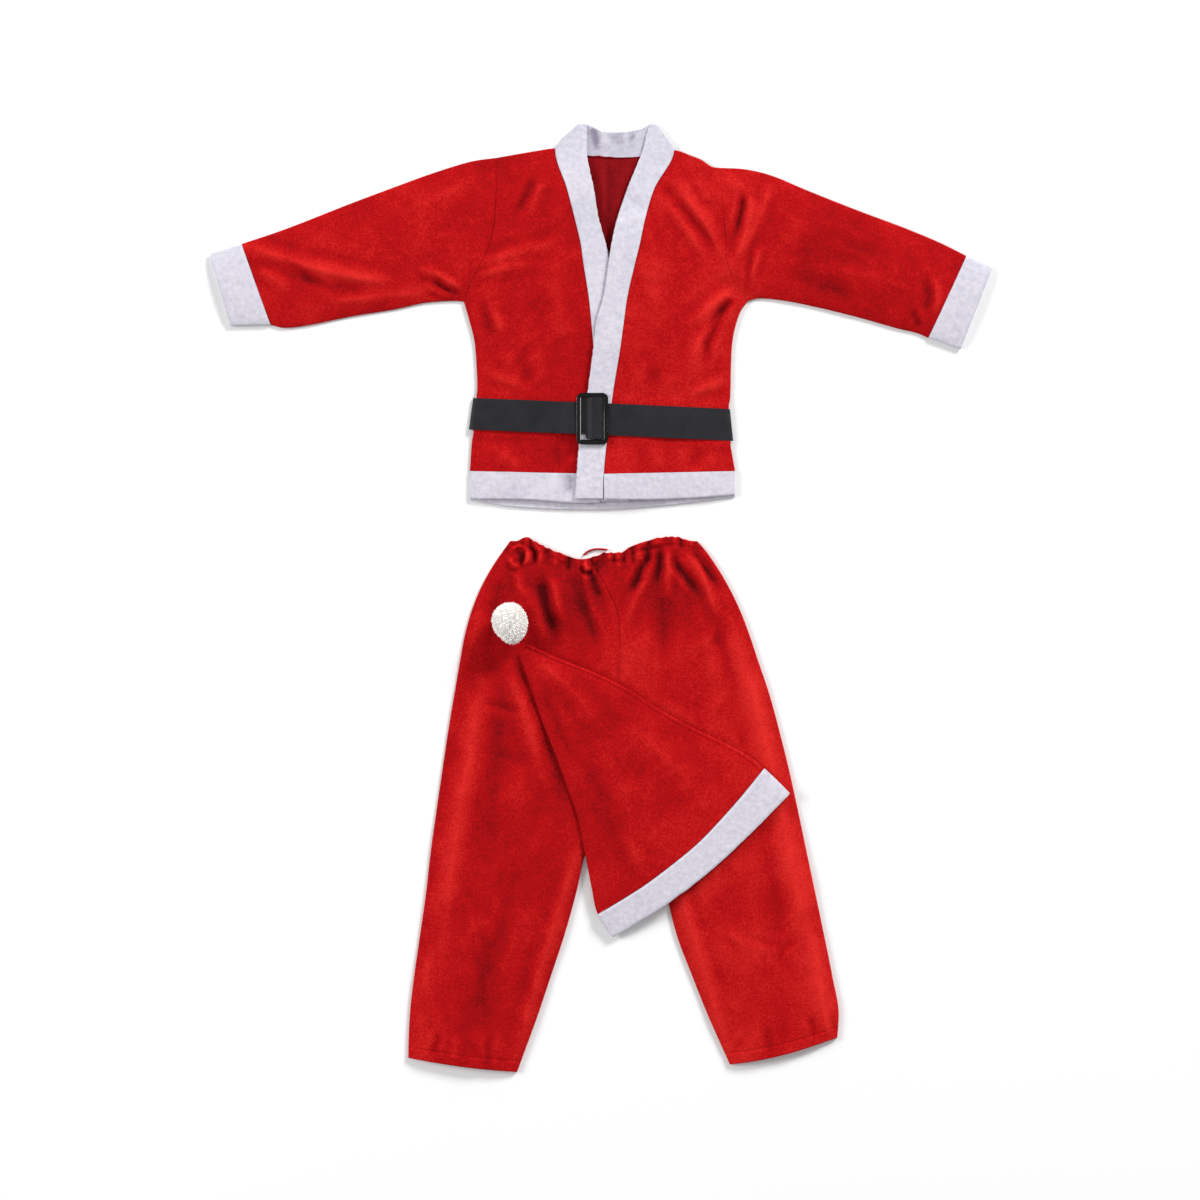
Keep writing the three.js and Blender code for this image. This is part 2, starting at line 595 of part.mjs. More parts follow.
const RIGHT_LEG = [
  { down: -24, outer: 102.3, inner: -30 },
  { down: -4, outer: 119, inner: -25 },
  { down: 14, outer: 131, inner: -16 },
  { down: 36, outer: 143.5, inner: -4 },
  { down: 60, outer: 155, inner: 7 },
  { down: 90, outer: 166.5, inner: 11 },
  { down: 120, outer: 176.5, inner: 11 },
  { down: 160, outer: 190, inner: 8.5 },
  { down: 205, outer: 202.3, inner: 5 },
  { down: 252, outer: 214, inner: 1.5 },
  { down: 300, outer: 224.5, inner: 24 },
  { down: 350, outer: 235, inner: 48 },
  { down: 400, outer: 245.5, inner: 66 },
  { down: 450, outer: 256, inner: 79 },
  { down: 500, outer: 266, inner: 98 },
  { down: 545, outer: 273.5, inner: 116 },
  { down: 605, outer: 267, inner: 143.5 },
];
// The drawn-in upper edge of the waist.
const WAIST = [
  { x: -119.7, down: -24 },
  { x: -107, down: -28.5 },
  { x: -92, down: -22.8 },
  { x: -73, down: -14.4 },
  { x: -50, down: -6 },
  { x: -37, down: -2.4 },
  { x: -20, down: -4.8 },
  { x: -8, down: -9.6 },
  { x: 9, down: -9.6 },
  { x: 29, down: -19.2 },
  { x: 45, down: -24 },
  { x: 78, down: -28.8 },
  { x: 102.3, down: -24 },
];
// Each leg's hem slopes down to the inside, and bows a little.
const LEFT_HEM = { outer: 597, inner: 614, bow: 2 };
const RIGHT_HEM = { outer: 573, inner: 605, bow: 5 };
const LEG_ROWS = LEFT_LEG.slice(2, -1).map((row) => row.down);
// Pleats that run down from the gathers.
const PLEATS = [
  { from: [-104, -14], to: [-80, 70], wide: 15, high: 2.0 },
  { from: [-68, -4], to: [-40, 108], wide: 16, high: 2.2 },
  { from: [-34, 6], to: [-8, 96], wide: 14, high: 1.8 },
  { from: [38, 0], to: [16, 96], wide: 15, high: 2.0 },
  { from: [60, -18], to: [74, 70], wide: 16, high: 2.0 },
  { from: [100, -10], to: [130, 84], wide: 15, high: 2.2 },
];
const LEG_RISE = 2.4;
const SHARED_CROWN = 0.55; // above the crotch the two halves rise as one, highest inside
const CROTCH_BLEND = 50; // above and below the crotch the two shapes run into each other

function trouserPanel(name, table, hem, side, onTop) {
  const columns = 8;
  const rows = LEG_ROWS.length + 1;
  return panel(name, velour, VELOUR, columns, rows, (column, row) => {
    const inside = side < 0 ? column / columns : 1 - column / columns;
    const acrossAt = (outerDown, innerDown) => {
      const outer = read(table, "down", "outer", outerDown);
      const inner = read(table, "down", "inner", innerDown) + (side * SEAM) / 2;
      return mix(outer, inner, inside);
    };
    let x = acrossAt(LEG_ROWS[row - 1], LEG_ROWS[row - 1]);
    let down = LEG_ROWS[row - 1];
    if (row === 0) {
      x = acrossAt(table[0].down, table[1].down);
      down = read(WAIST, "x", "down", x);
    } else if (row === rows) {
      x = acrossAt(hem.outer, hem.inner);
      down = mix(hem.outer, hem.inner, inside) + hem.bow * Math.sin(Math.PI * inside);
    }
    if (!onTop) return [x, -down, 0];
    // The two halves lie level at the centre seam, and each leg is a tube of its own below.
    const leg = smooth(CROTCH - CROTCH_BLEND, CROTCH + CROTCH_BLEND, down);
    const shared = crown(inside * SHARED_CROWN);
    const rise = LEG_RISE * mix(shared, crown(inside), leg);
    return [x, -down, REST + rise + ridges(PLEATS, x, down) * shared];
  }, TROUSERS_AT);
}

// A thin loop stands up from the middle of the waist.
const LOOP_ROUTE = [
  [-33, 5.6],
  [-29, 10],
  [-21, 12.9],
  [-12, 13.4],
  [-4, 12.2],
];
const LOOP_THICK = 2.2;
function waistLoop() {
  const route = new THREE.CatmullRomCurve3(
    LOOP_ROUTE.map(([x, y]) => new THREE.Vector3(x, y, LOOP_THICK / 2 + SEAM)),
  );
  const section = new THREE.Shape().absarc(0, 0, LOOP_THICK / 2, 0, 2 * Math.PI, false);
  const geometry = new THREE.ExtrudeGeometry(section, {
    steps: 12,
    curveSegments: 4,
    extrudePath: route,
  });
  return named("waist_loop", geometry, velour, ...TROUSERS_AT);
}

// ---- Hat -----------------------------------------------------------------------------
// left and right are its two folded edges, beside its own axis.
const HAT = [
  { along: 0, left: -6.9, right: 6.9 },
  { along: 40, left: -20.8, right: 27 },
  { along: 80, left: -36, right: 49 },
  { along: 120, left: -49, right: 67 },
  { along: 160, left: -63, right: 80 },
  { along: 200, left: -78, right: 95.5 },
  { along: 240, left: -99, right: 114 },
  { along: 275, left: -118, right: 128 },
  { along: 305, left: -133, right: 133.5 },
  { along: 350, left: -137, right: 138 },
];
// The brim seam and the band's edge bow away from the tip.
const BRIM = [
  { across: 0, seam: 305, foot: 338 },
  { across: 0.25, seam: 313, foot: 347 },
  { across: 0.5, seam: 315, foot: 350 },
  { across: 0.75, seam: 308, foot: 346 },
  { across: 1, seam: 296, foot: 339 },
];
const HAT_START = 4;
const HAT_RISE = 2.4;
const HAT_WIDTH = { tip: 15, brim: 268 };
const HAT_STATIONS = 11;
const HAT_STEPS = 10;
const TIP_FLAT = 0.3; // share of the cone over which its tip fills out
const ON_TROUSERS = 7.2;
const hatSpot = (along, across) => [
  along,
  mix(read(HAT, "along", "left", along), read(HAT, "along", "right", along), across),
];
// The hat lies on the trousers and sags towards the table between the two legs.
const SAG = { start: 12, run: 46, low: 2.4, deepen: 60 };
function hatRest(along, aside) {
  const turn = THREE.MathUtils.degToRad(HAT_TURN);
  const x = HAT_AT[0] + along * Math.cos(turn) - aside * Math.sin(turn) - TROUSERS_AT[0];
  const down = TROUSERS_AT[1] - HAT_AT[1] - along * Math.sin(turn) - aside * Math.cos(turn);
  const fromLeg = Math.min(
    x - read(LEFT_LEG, "down", "inner", down),
    read(RIGHT_LEG, "down", "inner", down) - x,
  );
  const sag = clamp((fromLeg - SAG.start) / SAG.run) * smooth(CROTCH, CROTCH + SAG.deepen, down);
  return mix(ON_TROUSERS, SAG.low, sag);
}
function hatCone() {
  const spot = (along, across) =>
    hatSpot(mix(HAT_START, read(BRIM, "across", "seam", across), along), across);
  return flatTube("hat_cone", velour, VELOUR, HAT_STEPS, {
    at: HAT_AT,
    turned: HAT_TURN,
    stations: evenStations(HAT_STATIONS),
    width: (along) => mix(HAT_WIDTH.tip, HAT_WIDTH.brim, along),
    spot,
    low: (along, across) => hatRest(...spot(along, across)),
    high: (along, across) => {
      const rise = HAT_RISE * crown(across) * smooth(0, TIP_FLAT, along);
      return hatRest(...spot(along, across)) + FLAT_TUBE + rise;
    },
  });
}
function hatBand() {
  const spot = (along, across) => {
    const seam = read(BRIM, "across", "seam", across) + 2 * SEAM;
    return hatSpot(mix(seam, read(BRIM, "across", "foot", across), along), across);
  };
  return flatTube("hat_band", plush, PLUSH, 2, {
    at: HAT_AT,
    turned: HAT_TURN,
    stations: evenStations(HAT_STATIONS),
    width: () => HAT_WIDTH.brim,
    spot,
    low: (along, across) => hatRest(...spot(along, across)),
    high: (along, across) =>
      hatRest(...spot(along, across)) + 2 * PLUSH + SEAM + PLUSH_TUBE_RISE * crown(across),
  });
}
// The pompom's reach, a little longer than wide and pressed down by its own weight.
const POMPOM = { x: -107.4, y: -27.6, wide: 44, long: 51, tall: 38, rest: 8.4 };
function pompom() {
  const geometry = new THREE.SphereGeometry(0.5, 16, 11);
  const middle = POMPOM.rest + POMPOM.tall / 2;
  const mesh = named("hat_pompom", geometry, plush, POMPOM.x, POMPOM.y, middle);
  mesh.rotation.x = Math.PI / 2;
  mesh.scale.set(POMPOM.wide, POMPOM.tall, POMPOM.long);
  return mesh;
}

// ---- The whole suit ------------------------------------------------------------------
const suit = new THREE.Group();
suit.add(
  jacketBack(),
  jacketFront("jacket_front_left", -1, LEFT_BAND, leftFrontRest),
  jacketFront("jacket_front_right", 1, RIGHT_BAND, rightFrontRest),
  sleeve("sleeve_left", LEFT_SLEEVE, -1),
  sleeve("sleeve_right", RIGHT_SLEEVE, 1),
  cuff("cuff_left", LEFT_SLEEVE, LEFT_CUFF_END, -1),
  cuff("cuff_right", RIGHT_SLEEVE, RIGHT_CUFF_END, 1),
  frontBand("front_band_left", -1, LEFT_BAND, leftBandRest),
  frontBand("front_band_right", 1, RIGHT_BAND, rightBandRest),
  neckBand(),
  hemBand("hem_band_back", BODY[HEM_ROW].leftX, BODY[HEM_ROW].rightX, "back", () => 0),
  hemBand("hem_band_left", BODY[HEM_ROW].leftX, HEM_OPENING.left - SEAM, "front", leftHemRest),
  hemBand("hem_band_right", HEM_OPENING.right + SEAM, BODY[HEM_ROW].rightX, "front", rightHemRest),
  beltStrap(),
  buckleFrame(),
  beltTail(),
  trouserPanel("trousers_back_left", LEFT_LEG, LEFT_HEM, -1, false),
  trouserPanel("trousers_back_right", RIGHT_LEG, RIGHT_HEM, 1, false),
  trouserPanel("trousers_front_left", LEFT_LEG, LEFT_HEM, -1, true),
  trouserPanel("trousers_front_right", RIGHT_LEG, RIGHT_HEM, 1, true),
  waistLoop(),
  hatCone(),
  hatBand(),
  pompom(),
);

// The origin is under the middle of the whole suit, on the surface it lies on.
const middle = new THREE.Box3().setFromObject(suit).getCenter(new THREE.Vector3());
suit.position.set(-middle.x, -middle.y, 0);

export default suit;
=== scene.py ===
# %% [markdown]
# # A child's Santa suit, laid out flat
# The suit is a wrap jacket with its belt, gathered trousers and a pointed hat. Its frame
# comes first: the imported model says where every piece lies, and each piece made here
# takes the place of one of its solids. Only the looks are new: soft edges, creases, nap.

# %% Load the frame
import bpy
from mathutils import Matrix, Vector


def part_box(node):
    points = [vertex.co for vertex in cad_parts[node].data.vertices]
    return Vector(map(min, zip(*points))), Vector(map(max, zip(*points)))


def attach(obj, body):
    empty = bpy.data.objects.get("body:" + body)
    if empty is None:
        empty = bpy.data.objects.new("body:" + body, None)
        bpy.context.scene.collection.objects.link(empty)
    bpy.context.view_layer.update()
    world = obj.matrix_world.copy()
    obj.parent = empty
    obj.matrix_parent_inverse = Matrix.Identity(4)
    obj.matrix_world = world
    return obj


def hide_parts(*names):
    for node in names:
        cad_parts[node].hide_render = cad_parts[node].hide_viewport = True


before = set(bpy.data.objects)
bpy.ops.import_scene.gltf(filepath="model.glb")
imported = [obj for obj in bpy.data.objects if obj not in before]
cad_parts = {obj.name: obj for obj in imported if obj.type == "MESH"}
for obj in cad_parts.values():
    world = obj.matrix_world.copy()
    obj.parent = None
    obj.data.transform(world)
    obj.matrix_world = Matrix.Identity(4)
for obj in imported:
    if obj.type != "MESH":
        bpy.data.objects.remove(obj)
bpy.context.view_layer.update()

import math
import random

import bpy
import numpy as np
from mathutils import Vector

MM = 0.001
random.seed(24)

# %% [markdown]
# ## The camera, the light and the table
# A flat lay is seen from straight above. A long lens far away keeps the outline as true
# as a pattern sheet, and a perspective lens, unlike an orthographic one, still frames the
# suit when the view is turned. Large soft lights from two sides model the folds.

# %% Place the suit's own sheet of sizes on the frame
# Sizes below are millimetres on one sheet. The pompom's middle is a place that is known
# both on that sheet and in the frame, so it says where the sheet lies.
POMPOM = {"x": -107.4, "y": -27.6, "wide": 44.0, "long": 51.0, "tall": 38.0}
low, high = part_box("hat_pompom")
SHEET_X = (low[0] + high[0]) / 2 / MM - POMPOM["x"]
SHEET_Y = (low[1] + high[1]) / 2 / MM - POMPOM["y"]
JACKET_AT = (3.3, 150.0)
TROUSERS_AT = (12.9, 48.0)
HAT_AT = (-93.6, -56.4)
HAT_TURN = math.radians(-50.6)
print("sheet lies at", round(SHEET_X, 2), round(SHEET_Y, 2))

# %% Camera
VIEW_WIDE = 1.44
CAMERA_HIGH = 4.2
camera_data = bpy.data.cameras.new("camera")
camera_data.sensor_width = 36.0
camera_data.lens = camera_data.sensor_width * CAMERA_HIGH / VIEW_WIDE
camera = bpy.data.objects.new("camera", camera_data)
bpy.context.collection.objects.link(camera)
camera.location = (SHEET_X * MM, SHEET_Y * MM, CAMERA_HIGH)
bpy.context.scene.camera = camera
print("lens", round(camera_data.lens, 1), "mm")

# %% Lights
def area_light(name, place, size, watts):
    """A square soft box aimed at the middle of the suit."""
    data = bpy.data.lights.new(name, "AREA")
    data.size = size
    data.energy = watts
    lamp = bpy.data.objects.new(name, data)
    bpy.context.collection.objects.link(lamp)
    lamp.location = place
    lamp.rotation_euler = (-Vector(place)).to_track_quat("-Z", "Y").to_euler()
    return lamp


area_light("key", (4.6, 5.9, 3.9), 2.2, 640.0)
area_light("fill", (-6.6, 1.4, 3.6), 2.6, 330.0)
WORLD_LIGHT = 0.43
world = bpy.data.worlds.new("studio")
world.use_nodes = True
world.node_tree.nodes["Background"].inputs["Color"].default_value = (1.0, 1.0, 1.0, 1.0)
world.node_tree.nodes["Background"].inputs["Strength"].default_value = WORLD_LIGHT
bpy.context.scene.world = world
bpy.context.scene.view_settings.view_transform = "Standard"
print("lights ready")

# %% [markdown]
# ## Reading a maker's table
# A pattern is a few measured sections. A cloth edge runs smoothly through them, so each
# table is read as a smooth curve (a cubic between rows, with each row's own slope).

# %% Read a column of a table as a smooth curve
def curve(table, along, column):
    """A function that gives the column's value anywhere along the table."""
    rows = sorted(table, key=lambda row: row[along])
    knots = np.array([row[along] for row in rows], float)
    values = np.array([row[column] for row in rows], float)
    steps = np.diff(values) / np.diff(knots)
    slopes = np.empty_like(values)
    slopes[0], slopes[-1] = steps[0], steps[-1]
    slopes[1:-1] = np.where(steps[1:] * steps[:-1] > 0, (steps[1:] + steps[:-1]) / 2, 0)

    def value(at):
        at = np.clip(np.asarray(at, float), knots[0], knots[-1])
        i = np.clip(np.searchsorted(knots, at) - 1, 0, len(knots) - 2)
        gap = knots[i + 1] - knots[i]
        t = (at - knots[i]) / gap
        return (
            (2 * t**3 - 3 * t**2 + 1) * values[i]
            + (t**3 - 2 * t**2 + t) * gap * slopes[i]
            + (3 * t**2 - 2 * t**3) * values[i + 1]
            + (t**3 - t**2) * gap * slopes[i + 1]
        )

    return value


def table(names, *rows):
    """Rows of numbers under named columns."""
    columns = names.split()
    return [dict(zip(columns, row)) for row in rows]


def mix(a, b, t):
    return a + (b - a) * t


def ease(low, high, at):
    """0 below low, 1 above high, and a soft slope between them."""
    t = np.clip((np.asarray(at, float) - low) / (high - low), 0, 1)
    return t * t * (3 - 2 * t)


def bell(at, middle, half):
    """1 at the middle, falling softly to 0 on both sides."""
    return np.exp(-(((at - middle) / half) ** 2))


def crown(across):
    """The rise of cloth between two held edges."""
    return np.sqrt(np.sin(np.pi * np.clip(across, 0, 1)))


# %% [markdown]
# ## Creases
# Velour that has been folded, sewn and drawn in keeps long soft folds. Each main crease
# is listed: the line that it follows, its half width and its rise, below zero for
# a trough. One sum of them bends every layer at a place alike, so a band or a belt never
# cuts the cloth that it lies on. Simulation would not put them where a real suit has them.
# Fine wrinkles are too many to place, so a seeded loop strews them later on.

# %% The height of a set of creases at any place
def creases(rows, x, y):
    """Sum of soft ridges and troughs. A row is (points, half width, rise)."""
    total = np.zeros_like(x)
    for points, wide, rise in rows:
        best = np.full_like(x, 1e9)
        reach = np.zeros_like(x)
        lengths = [math.dist(a, b) for a, b in zip(points, points[1:])]
        done = 0.0
        for (ax, ay), (bx, by), length in zip(points, points[1:], lengths):
            t = ((x - ax) * (bx - ax) + (y - ay) * (by - ay)) / length**2
            t = np.clip(t, 0, 1)
            away = np.hypot(x - ax - t * (bx - ax), y - ay - t * (by - ay))
            nearer = away < best
            best = np.where(nearer, away, best)
            reach = np.where(nearer, (done + t * length) / sum(lengths), reach)
            done += length
        fade = (0.3 + 0.7 * ease(0, 0.15, reach)) * (1 - 0.9 * ease(0.62, 1, reach))
        crest = 0.45 * np.exp(-((best / wide) ** 2)) + 0.55 * np.exp(-1.9 * best / wide)
        wave = crest - 0.28 * np.exp(-((best / wide - 2.1) ** 2) * 1.6)
        total += rise * fade * wave
    return total


def draw_waves(count, shortest, longest):
    """Waves of any heading and start, with lengths in millimetres."""
    return [
        (random.uniform(0, math.tau), random.uniform(shortest, longest), random.uniform(0, math.tau))
        for _ in range(count)
    ]


def sum_waves(waves, x, y):
    """The sum of the waves, about 1 from trough to crest."""
    total = np.zeros_like(x)
    for heading, length, start in waves:
        run = x * math.cos(heading) + y * math.sin(heading)
        total += np.sin(math.tau * run / length + start)
    return total / (len(waves) / 2)


WAVES = draw_waves(16, 45, 130)


def undulation(x, y):
    """Slow waves that loose cloth has everywhere."""
    return sum_waves(WAVES, x, y)


# %% [markdown]
# ## Two ways of making cloth
# A flat panel is a grid whose corners are moved to the cloth's outline and height, with
# its cut edges rolled over, then given a wall by Solidify. A tube, such as a sleeve, is a
# grid whose two long sides meet at the fold: they are merged before the wall is added.

# %% Thickness of the cloth
VELOUR = 1.5
PLUSH = 2.5
TUBE_VELOUR = 1.2
CUFF_PLUSH = 2.0
BRIM_PLUSH = 2.2
TWO_LAYERS = 2 * VELOUR + 0.4
PLUSH_REST = PLUSH + 0.1
MERGE = 0.00002
SIDES = {-1: "left", 1: "right"}
print("velour", VELOUR, "mm, plush", PLUSH, "mm")

# %% Grid, panel and tube
def deselect():
    if bpy.context.object and bpy.context.object.mode != "OBJECT":
        bpy.ops.object.mode_set(mode="OBJECT")
    bpy.ops.object.select_all(action="DESELECT")


def pick(piece):
    """Makes a piece the one that is selected and active."""
    deselect()
    piece.select_set(True)
    bpy.context.view_layer.objects.active = piece


def grid(name, columns, rows, shape):
    """A grid whose points go where shape(u, v) puts them, with a value for its folds."""
    deselect()
    bpy.ops.mesh.primitive_grid_add(x_subdivisions=columns, y_subdivisions=rows, size=2)
    piece = bpy.context.object
    piece.name = name
    piece.data.name = name
    flat = np.empty(len(piece.data.vertices) * 3)
    piece.data.vertices.foreach_get("co", flat)
    flat = flat.reshape(-1, 3)
    u = (flat[:, 0] + 1) / 2
    v = (1 - flat[:, 1]) / 2
    x, y, z, fold = shape(u, v)
    points = np.column_stack([x + SHEET_X, y + SHEET_Y, z]) * MM
    piece.data.vertices.foreach_set("co", points.ravel())
    note = piece.data.attributes.new("fold", "FLOAT", "POINT")
    note.data.foreach_set("value", np.asarray(fold, np.float32))
    piece.data.update()
    return piece


def stand_for(piece, node):
    """Takes the place of a frame solid, on the suit's one body."""
    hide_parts(node)
    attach(piece, "root")
    print(piece.name, len(piece.data.polygons), "faces")


def finish_cloth(piece, thick, merge=False):
    """Merges a tube's seam, adds the wall below the surface and smooths the shading."""
    pick(piece)
    if merge:
        bpy.ops.object.mode_set(mode="EDIT")
        bpy.ops.mesh.select_all(action="SELECT")
        bpy.ops.mesh.remove_doubles(threshold=MERGE)
        bpy.ops.mesh.normals_make_consistent(inside=False)
        bpy.ops.object.mode_set(mode="OBJECT")
    wall = piece.modifiers.new("wall", "SOLIDIFY")
    wall.thickness = thick * MM
    wall.offset = -1
    bpy.ops.object.modifier_apply(modifier=wall.name)
    bpy.ops.object.shade_smooth_by_angle(angle=math.radians(50))
    bpy.ops.object.select_all(action="DESELECT")
    return piece


def tighten(t):
    """Places from 0 to 1 that crowd towards both ends, where an edge is rolled."""
    return t - 0.86 * np.sin(math.tau * t) / math.tau


def roll(away, radius):
    """How far a rolled edge drops, by the distance from that edge."""
    inside = np.clip(1 - np.asarray(away) / radius, 0, 1)
    return radius * (1 - np.sqrt(1 - inside**2))


def panel(name, node, size, plan, height, thick, rolled, origin):
    """A flat piece. rolled gives the radius of its left, right, upper and lower edge."""

    def shape(u, v):
        s, t = tighten(u), tighten(v)
        x, y = plan(s, t)
        z, fold = height(x, y, s, t)
        for radius, (edge_s, edge_t) in zip(rolled, ((0, t), (1, t), (s, 0), (s, 1))):
            if np.max(radius) > 0:
                edge = plan(edge_s + 0 * s, edge_t + 0 * t)
                away = np.hypot(x - edge[0], y - edge[1])
                z = z - roll(away, np.maximum(radius, 0.01))
        return x + origin[0], y + origin[1], z, fold

    stand_for(finish_cloth(grid(name, *size, shape), thick), node)


def tube(name, node, size, plan, low, high, thick, origin, turn=0.0):
    """A tube pressed flat: plan(across, along), with its lower and upper outsides."""

    def shape(u, v):
        angle = math.tau * u
        across = (1 - np.cos(angle)) / 2
        x, y = plan(across, v)
        bottom = low(x, y, across, v)
        top, fold = high(x, y, across, v)
        # The upper layer is the half where the sine is above zero.
        side = np.sin(angle)
        round_off = np.abs(side) ** 0.42
        middle = (top + bottom) / 2
        z = np.where(side >= 0, mix(middle, top, round_off), mix(middle, bottom, round_off))
        fold = np.where(side >= 0, fold, 0)
        cos, sin = math.cos(turn), math.sin(turn)
        return origin[0] + x * cos - y * sin, origin[1] + x * sin + y * cos, z, fold

    stand_for(finish_cloth(grid(name, *size, shape), thick, merge=True), node)


# %% [markdown]
# ## The jacket's pattern
# These are the sections of the body, from the shoulders past the underarm to the hem
# seam, and the two plush bands that edge the fronts. The left band runs on under the
# right front, which laps over it below the crossing.

# %% Sections of the jacket
BELT_UP = 66.5
BELT_TILT = -0.043
ARMHOLE_ROWS = 7
HEM_ROW = 14
BODY = table(
    "row left_x left_up middle right_x right_up",
    (0, -127.5, 380.4, 390, 139.5, 368.4),
    (1, -128, 342, 342, 143, 329),
    (2, -129.3, 312, 306, 145.5, 303),
    (3, -135.3, 278.4, 276, 147.3, 282),
    (4, -147.3, 252, 252, 149.1, 255.6),
    (5, -159.3, 228, 228, 155.1, 236.4),
    (6, -163, 217, 214, 164.7, 219.6),
    (7, -166.5, 207.6, 202, 174.3, 208.8),
    (8, -160, 185, 182, 163.5, 192),
    (9, -153.3, 156, 150, 155.1, 156),
    (10, -150.5, 107, 100.5, 153, 94),
    (11, -151.2, 95, 88.5, 151.2, 82),
    (12, -155, 51, 44.5, 153.2, 38),
    (13, -157, 39, 32.5, 155, 26),
    (14, -159.3, 4.8, 1.2, 158.7, 4.8),
)
BACK_TOP = table(
    "x up",
    (-127.5, 380.4), (-104, 384.4), (-80, 388.4), (-57.3, 391.5), (-40, 386.5),
    (-19, 383.4), (11, 381), (46, 382.2), (68, 385.5), (85.5, 389.4),
    (106, 382.8), (118, 378), (131, 369.6), (139.5, 368.4),
)
LEFT_BAND = table(
    "up seam edge",
    (421, -29.7, -19), (412, -40, -19), (402, -51, -19), (390, -57, -19),
    (342, -42.7, -10.5), (306, -33.3, -4.5), (276, -26.3, 4), (252, -23, 9.2),
    (214, -17, 14.3), (150, -10.5, 22.5), (100.5, -4.7, 28), (44.5, -3.3, 31),
    (-32, -3.3, 31.5),
)
RIGHT_BAND = table(
    "up seam edge",
    (421, 63, 56), (412, 71, 53.5), (402, 78.3, 51), (390, 85.5, 48),
    (342, 61.5, 29.1), (306, 50.7, 17.1), (276, 44.3, 10.3), (252, 38.4, 6.6),
    (214, 29.7, 1), (182, 25.1, -8), (150, 20.7, -11.7), (100.5, 12.6, -18),
    (44.5, 5.4, -27.5), (1.2, 1.2, -31.3), (-29, 0.3, -33.3),
)
NECK_TOP = table(
    "x up",
    (-57.3, 392), (-51, 399.5), (-40, 409.5), (-29.7, 420.5), (-19, 420), (-2, 412.8),
    (11, 411), (27, 411.6), (46, 415.5), (57, 420.5), (63, 420.5), (78.3, 399), (85.5, 389.6),
)
HEM_FOOT = table(
    "x front back",
    (-159.3, -28.8, -30.5), (-120, -29.5, -37), (-87, -30, -40), (-40, -33.6, -42),
    (-3.6, -33.8, -42), (1.6, -30, -42), (50, -30, -39), (105, -28, -33.6),
    (158.7, -24, -26.4),
)


def section_side(side, what):
    """A smooth armhole and a smooth side seam, with a corner at the underarm."""
    name = ("left_" if side < 0 else "right_") + what
    upper = curve(BODY[: ARMHOLE_ROWS + 1], "row", name)
    lower = curve(BODY[ARMHOLE_ROWS:], "row", name)
    return lambda row: np.where(row <= ARMHOLE_ROWS, upper(row), lower(row))


SIDE = {
    side: (section_side(side, "x"), section_side(side, "up")) for side in (-1, 1)
}
middle_up = curve(BODY, "row", "middle")
back_top = curve(BACK_TOP, "x", "up")


def body_up(row, x):
    """How high a section lies at a place across the body."""
    side_x = np.where(x < 0, SIDE[-1][0](row), SIDE[1][0](row))
    side_up = np.where(x < 0, SIDE[-1][1](row), SIDE[1][1](row))
    up = mix(middle_up(row), side_up, x / side_x)
    # The first section follows the shoulders and the neck.
    return mix(back_top(x), up, np.clip(row, 0, 1))


def body_row(t):
    """Sections are spread by height, so that the cells stay nearly even."""
    heights = [row["middle"] for row in BODY]
    down = mix(heights[0], heights[-1], t)
    return np.interp(-down, [-h for h in heights], range(len(heights)))


print("jacket", BODY[0]["left_up"], "mm up to the shoulder")

# %% How the nap lies on each piece
# Velour looks paler or deeper by the way its nap lies, and no two cut pieces lie quite
# alike. These are added to the fold values: above zero is paler.
NAP = {"front_left": -0.3, "front_right": 0.6, "sleeve_left": 0.1, "sleeve_right": -0.7,
       "leg_left": -0.2, "leg_right": 1.3, "hat": -0.5}

# %% Height of the jacket's fronts
WEBBING = 1.4
BELT_LIFT = WEBBING + 0.3
BELT_CLEAR = 22.0
BELT_SLOPE = 34.0
OVERLAP = 4.2
LAP_END = 36.0
LAP_FALL = 60.0


def from_belt(x, up):
    return np.abs(up - BELT_UP - BELT_TILT * x)


def belt_lift(x, up):
    return BELT_LIFT * (1 - ease(BELT_CLEAR, BELT_SLOPE, from_belt(x, up)))


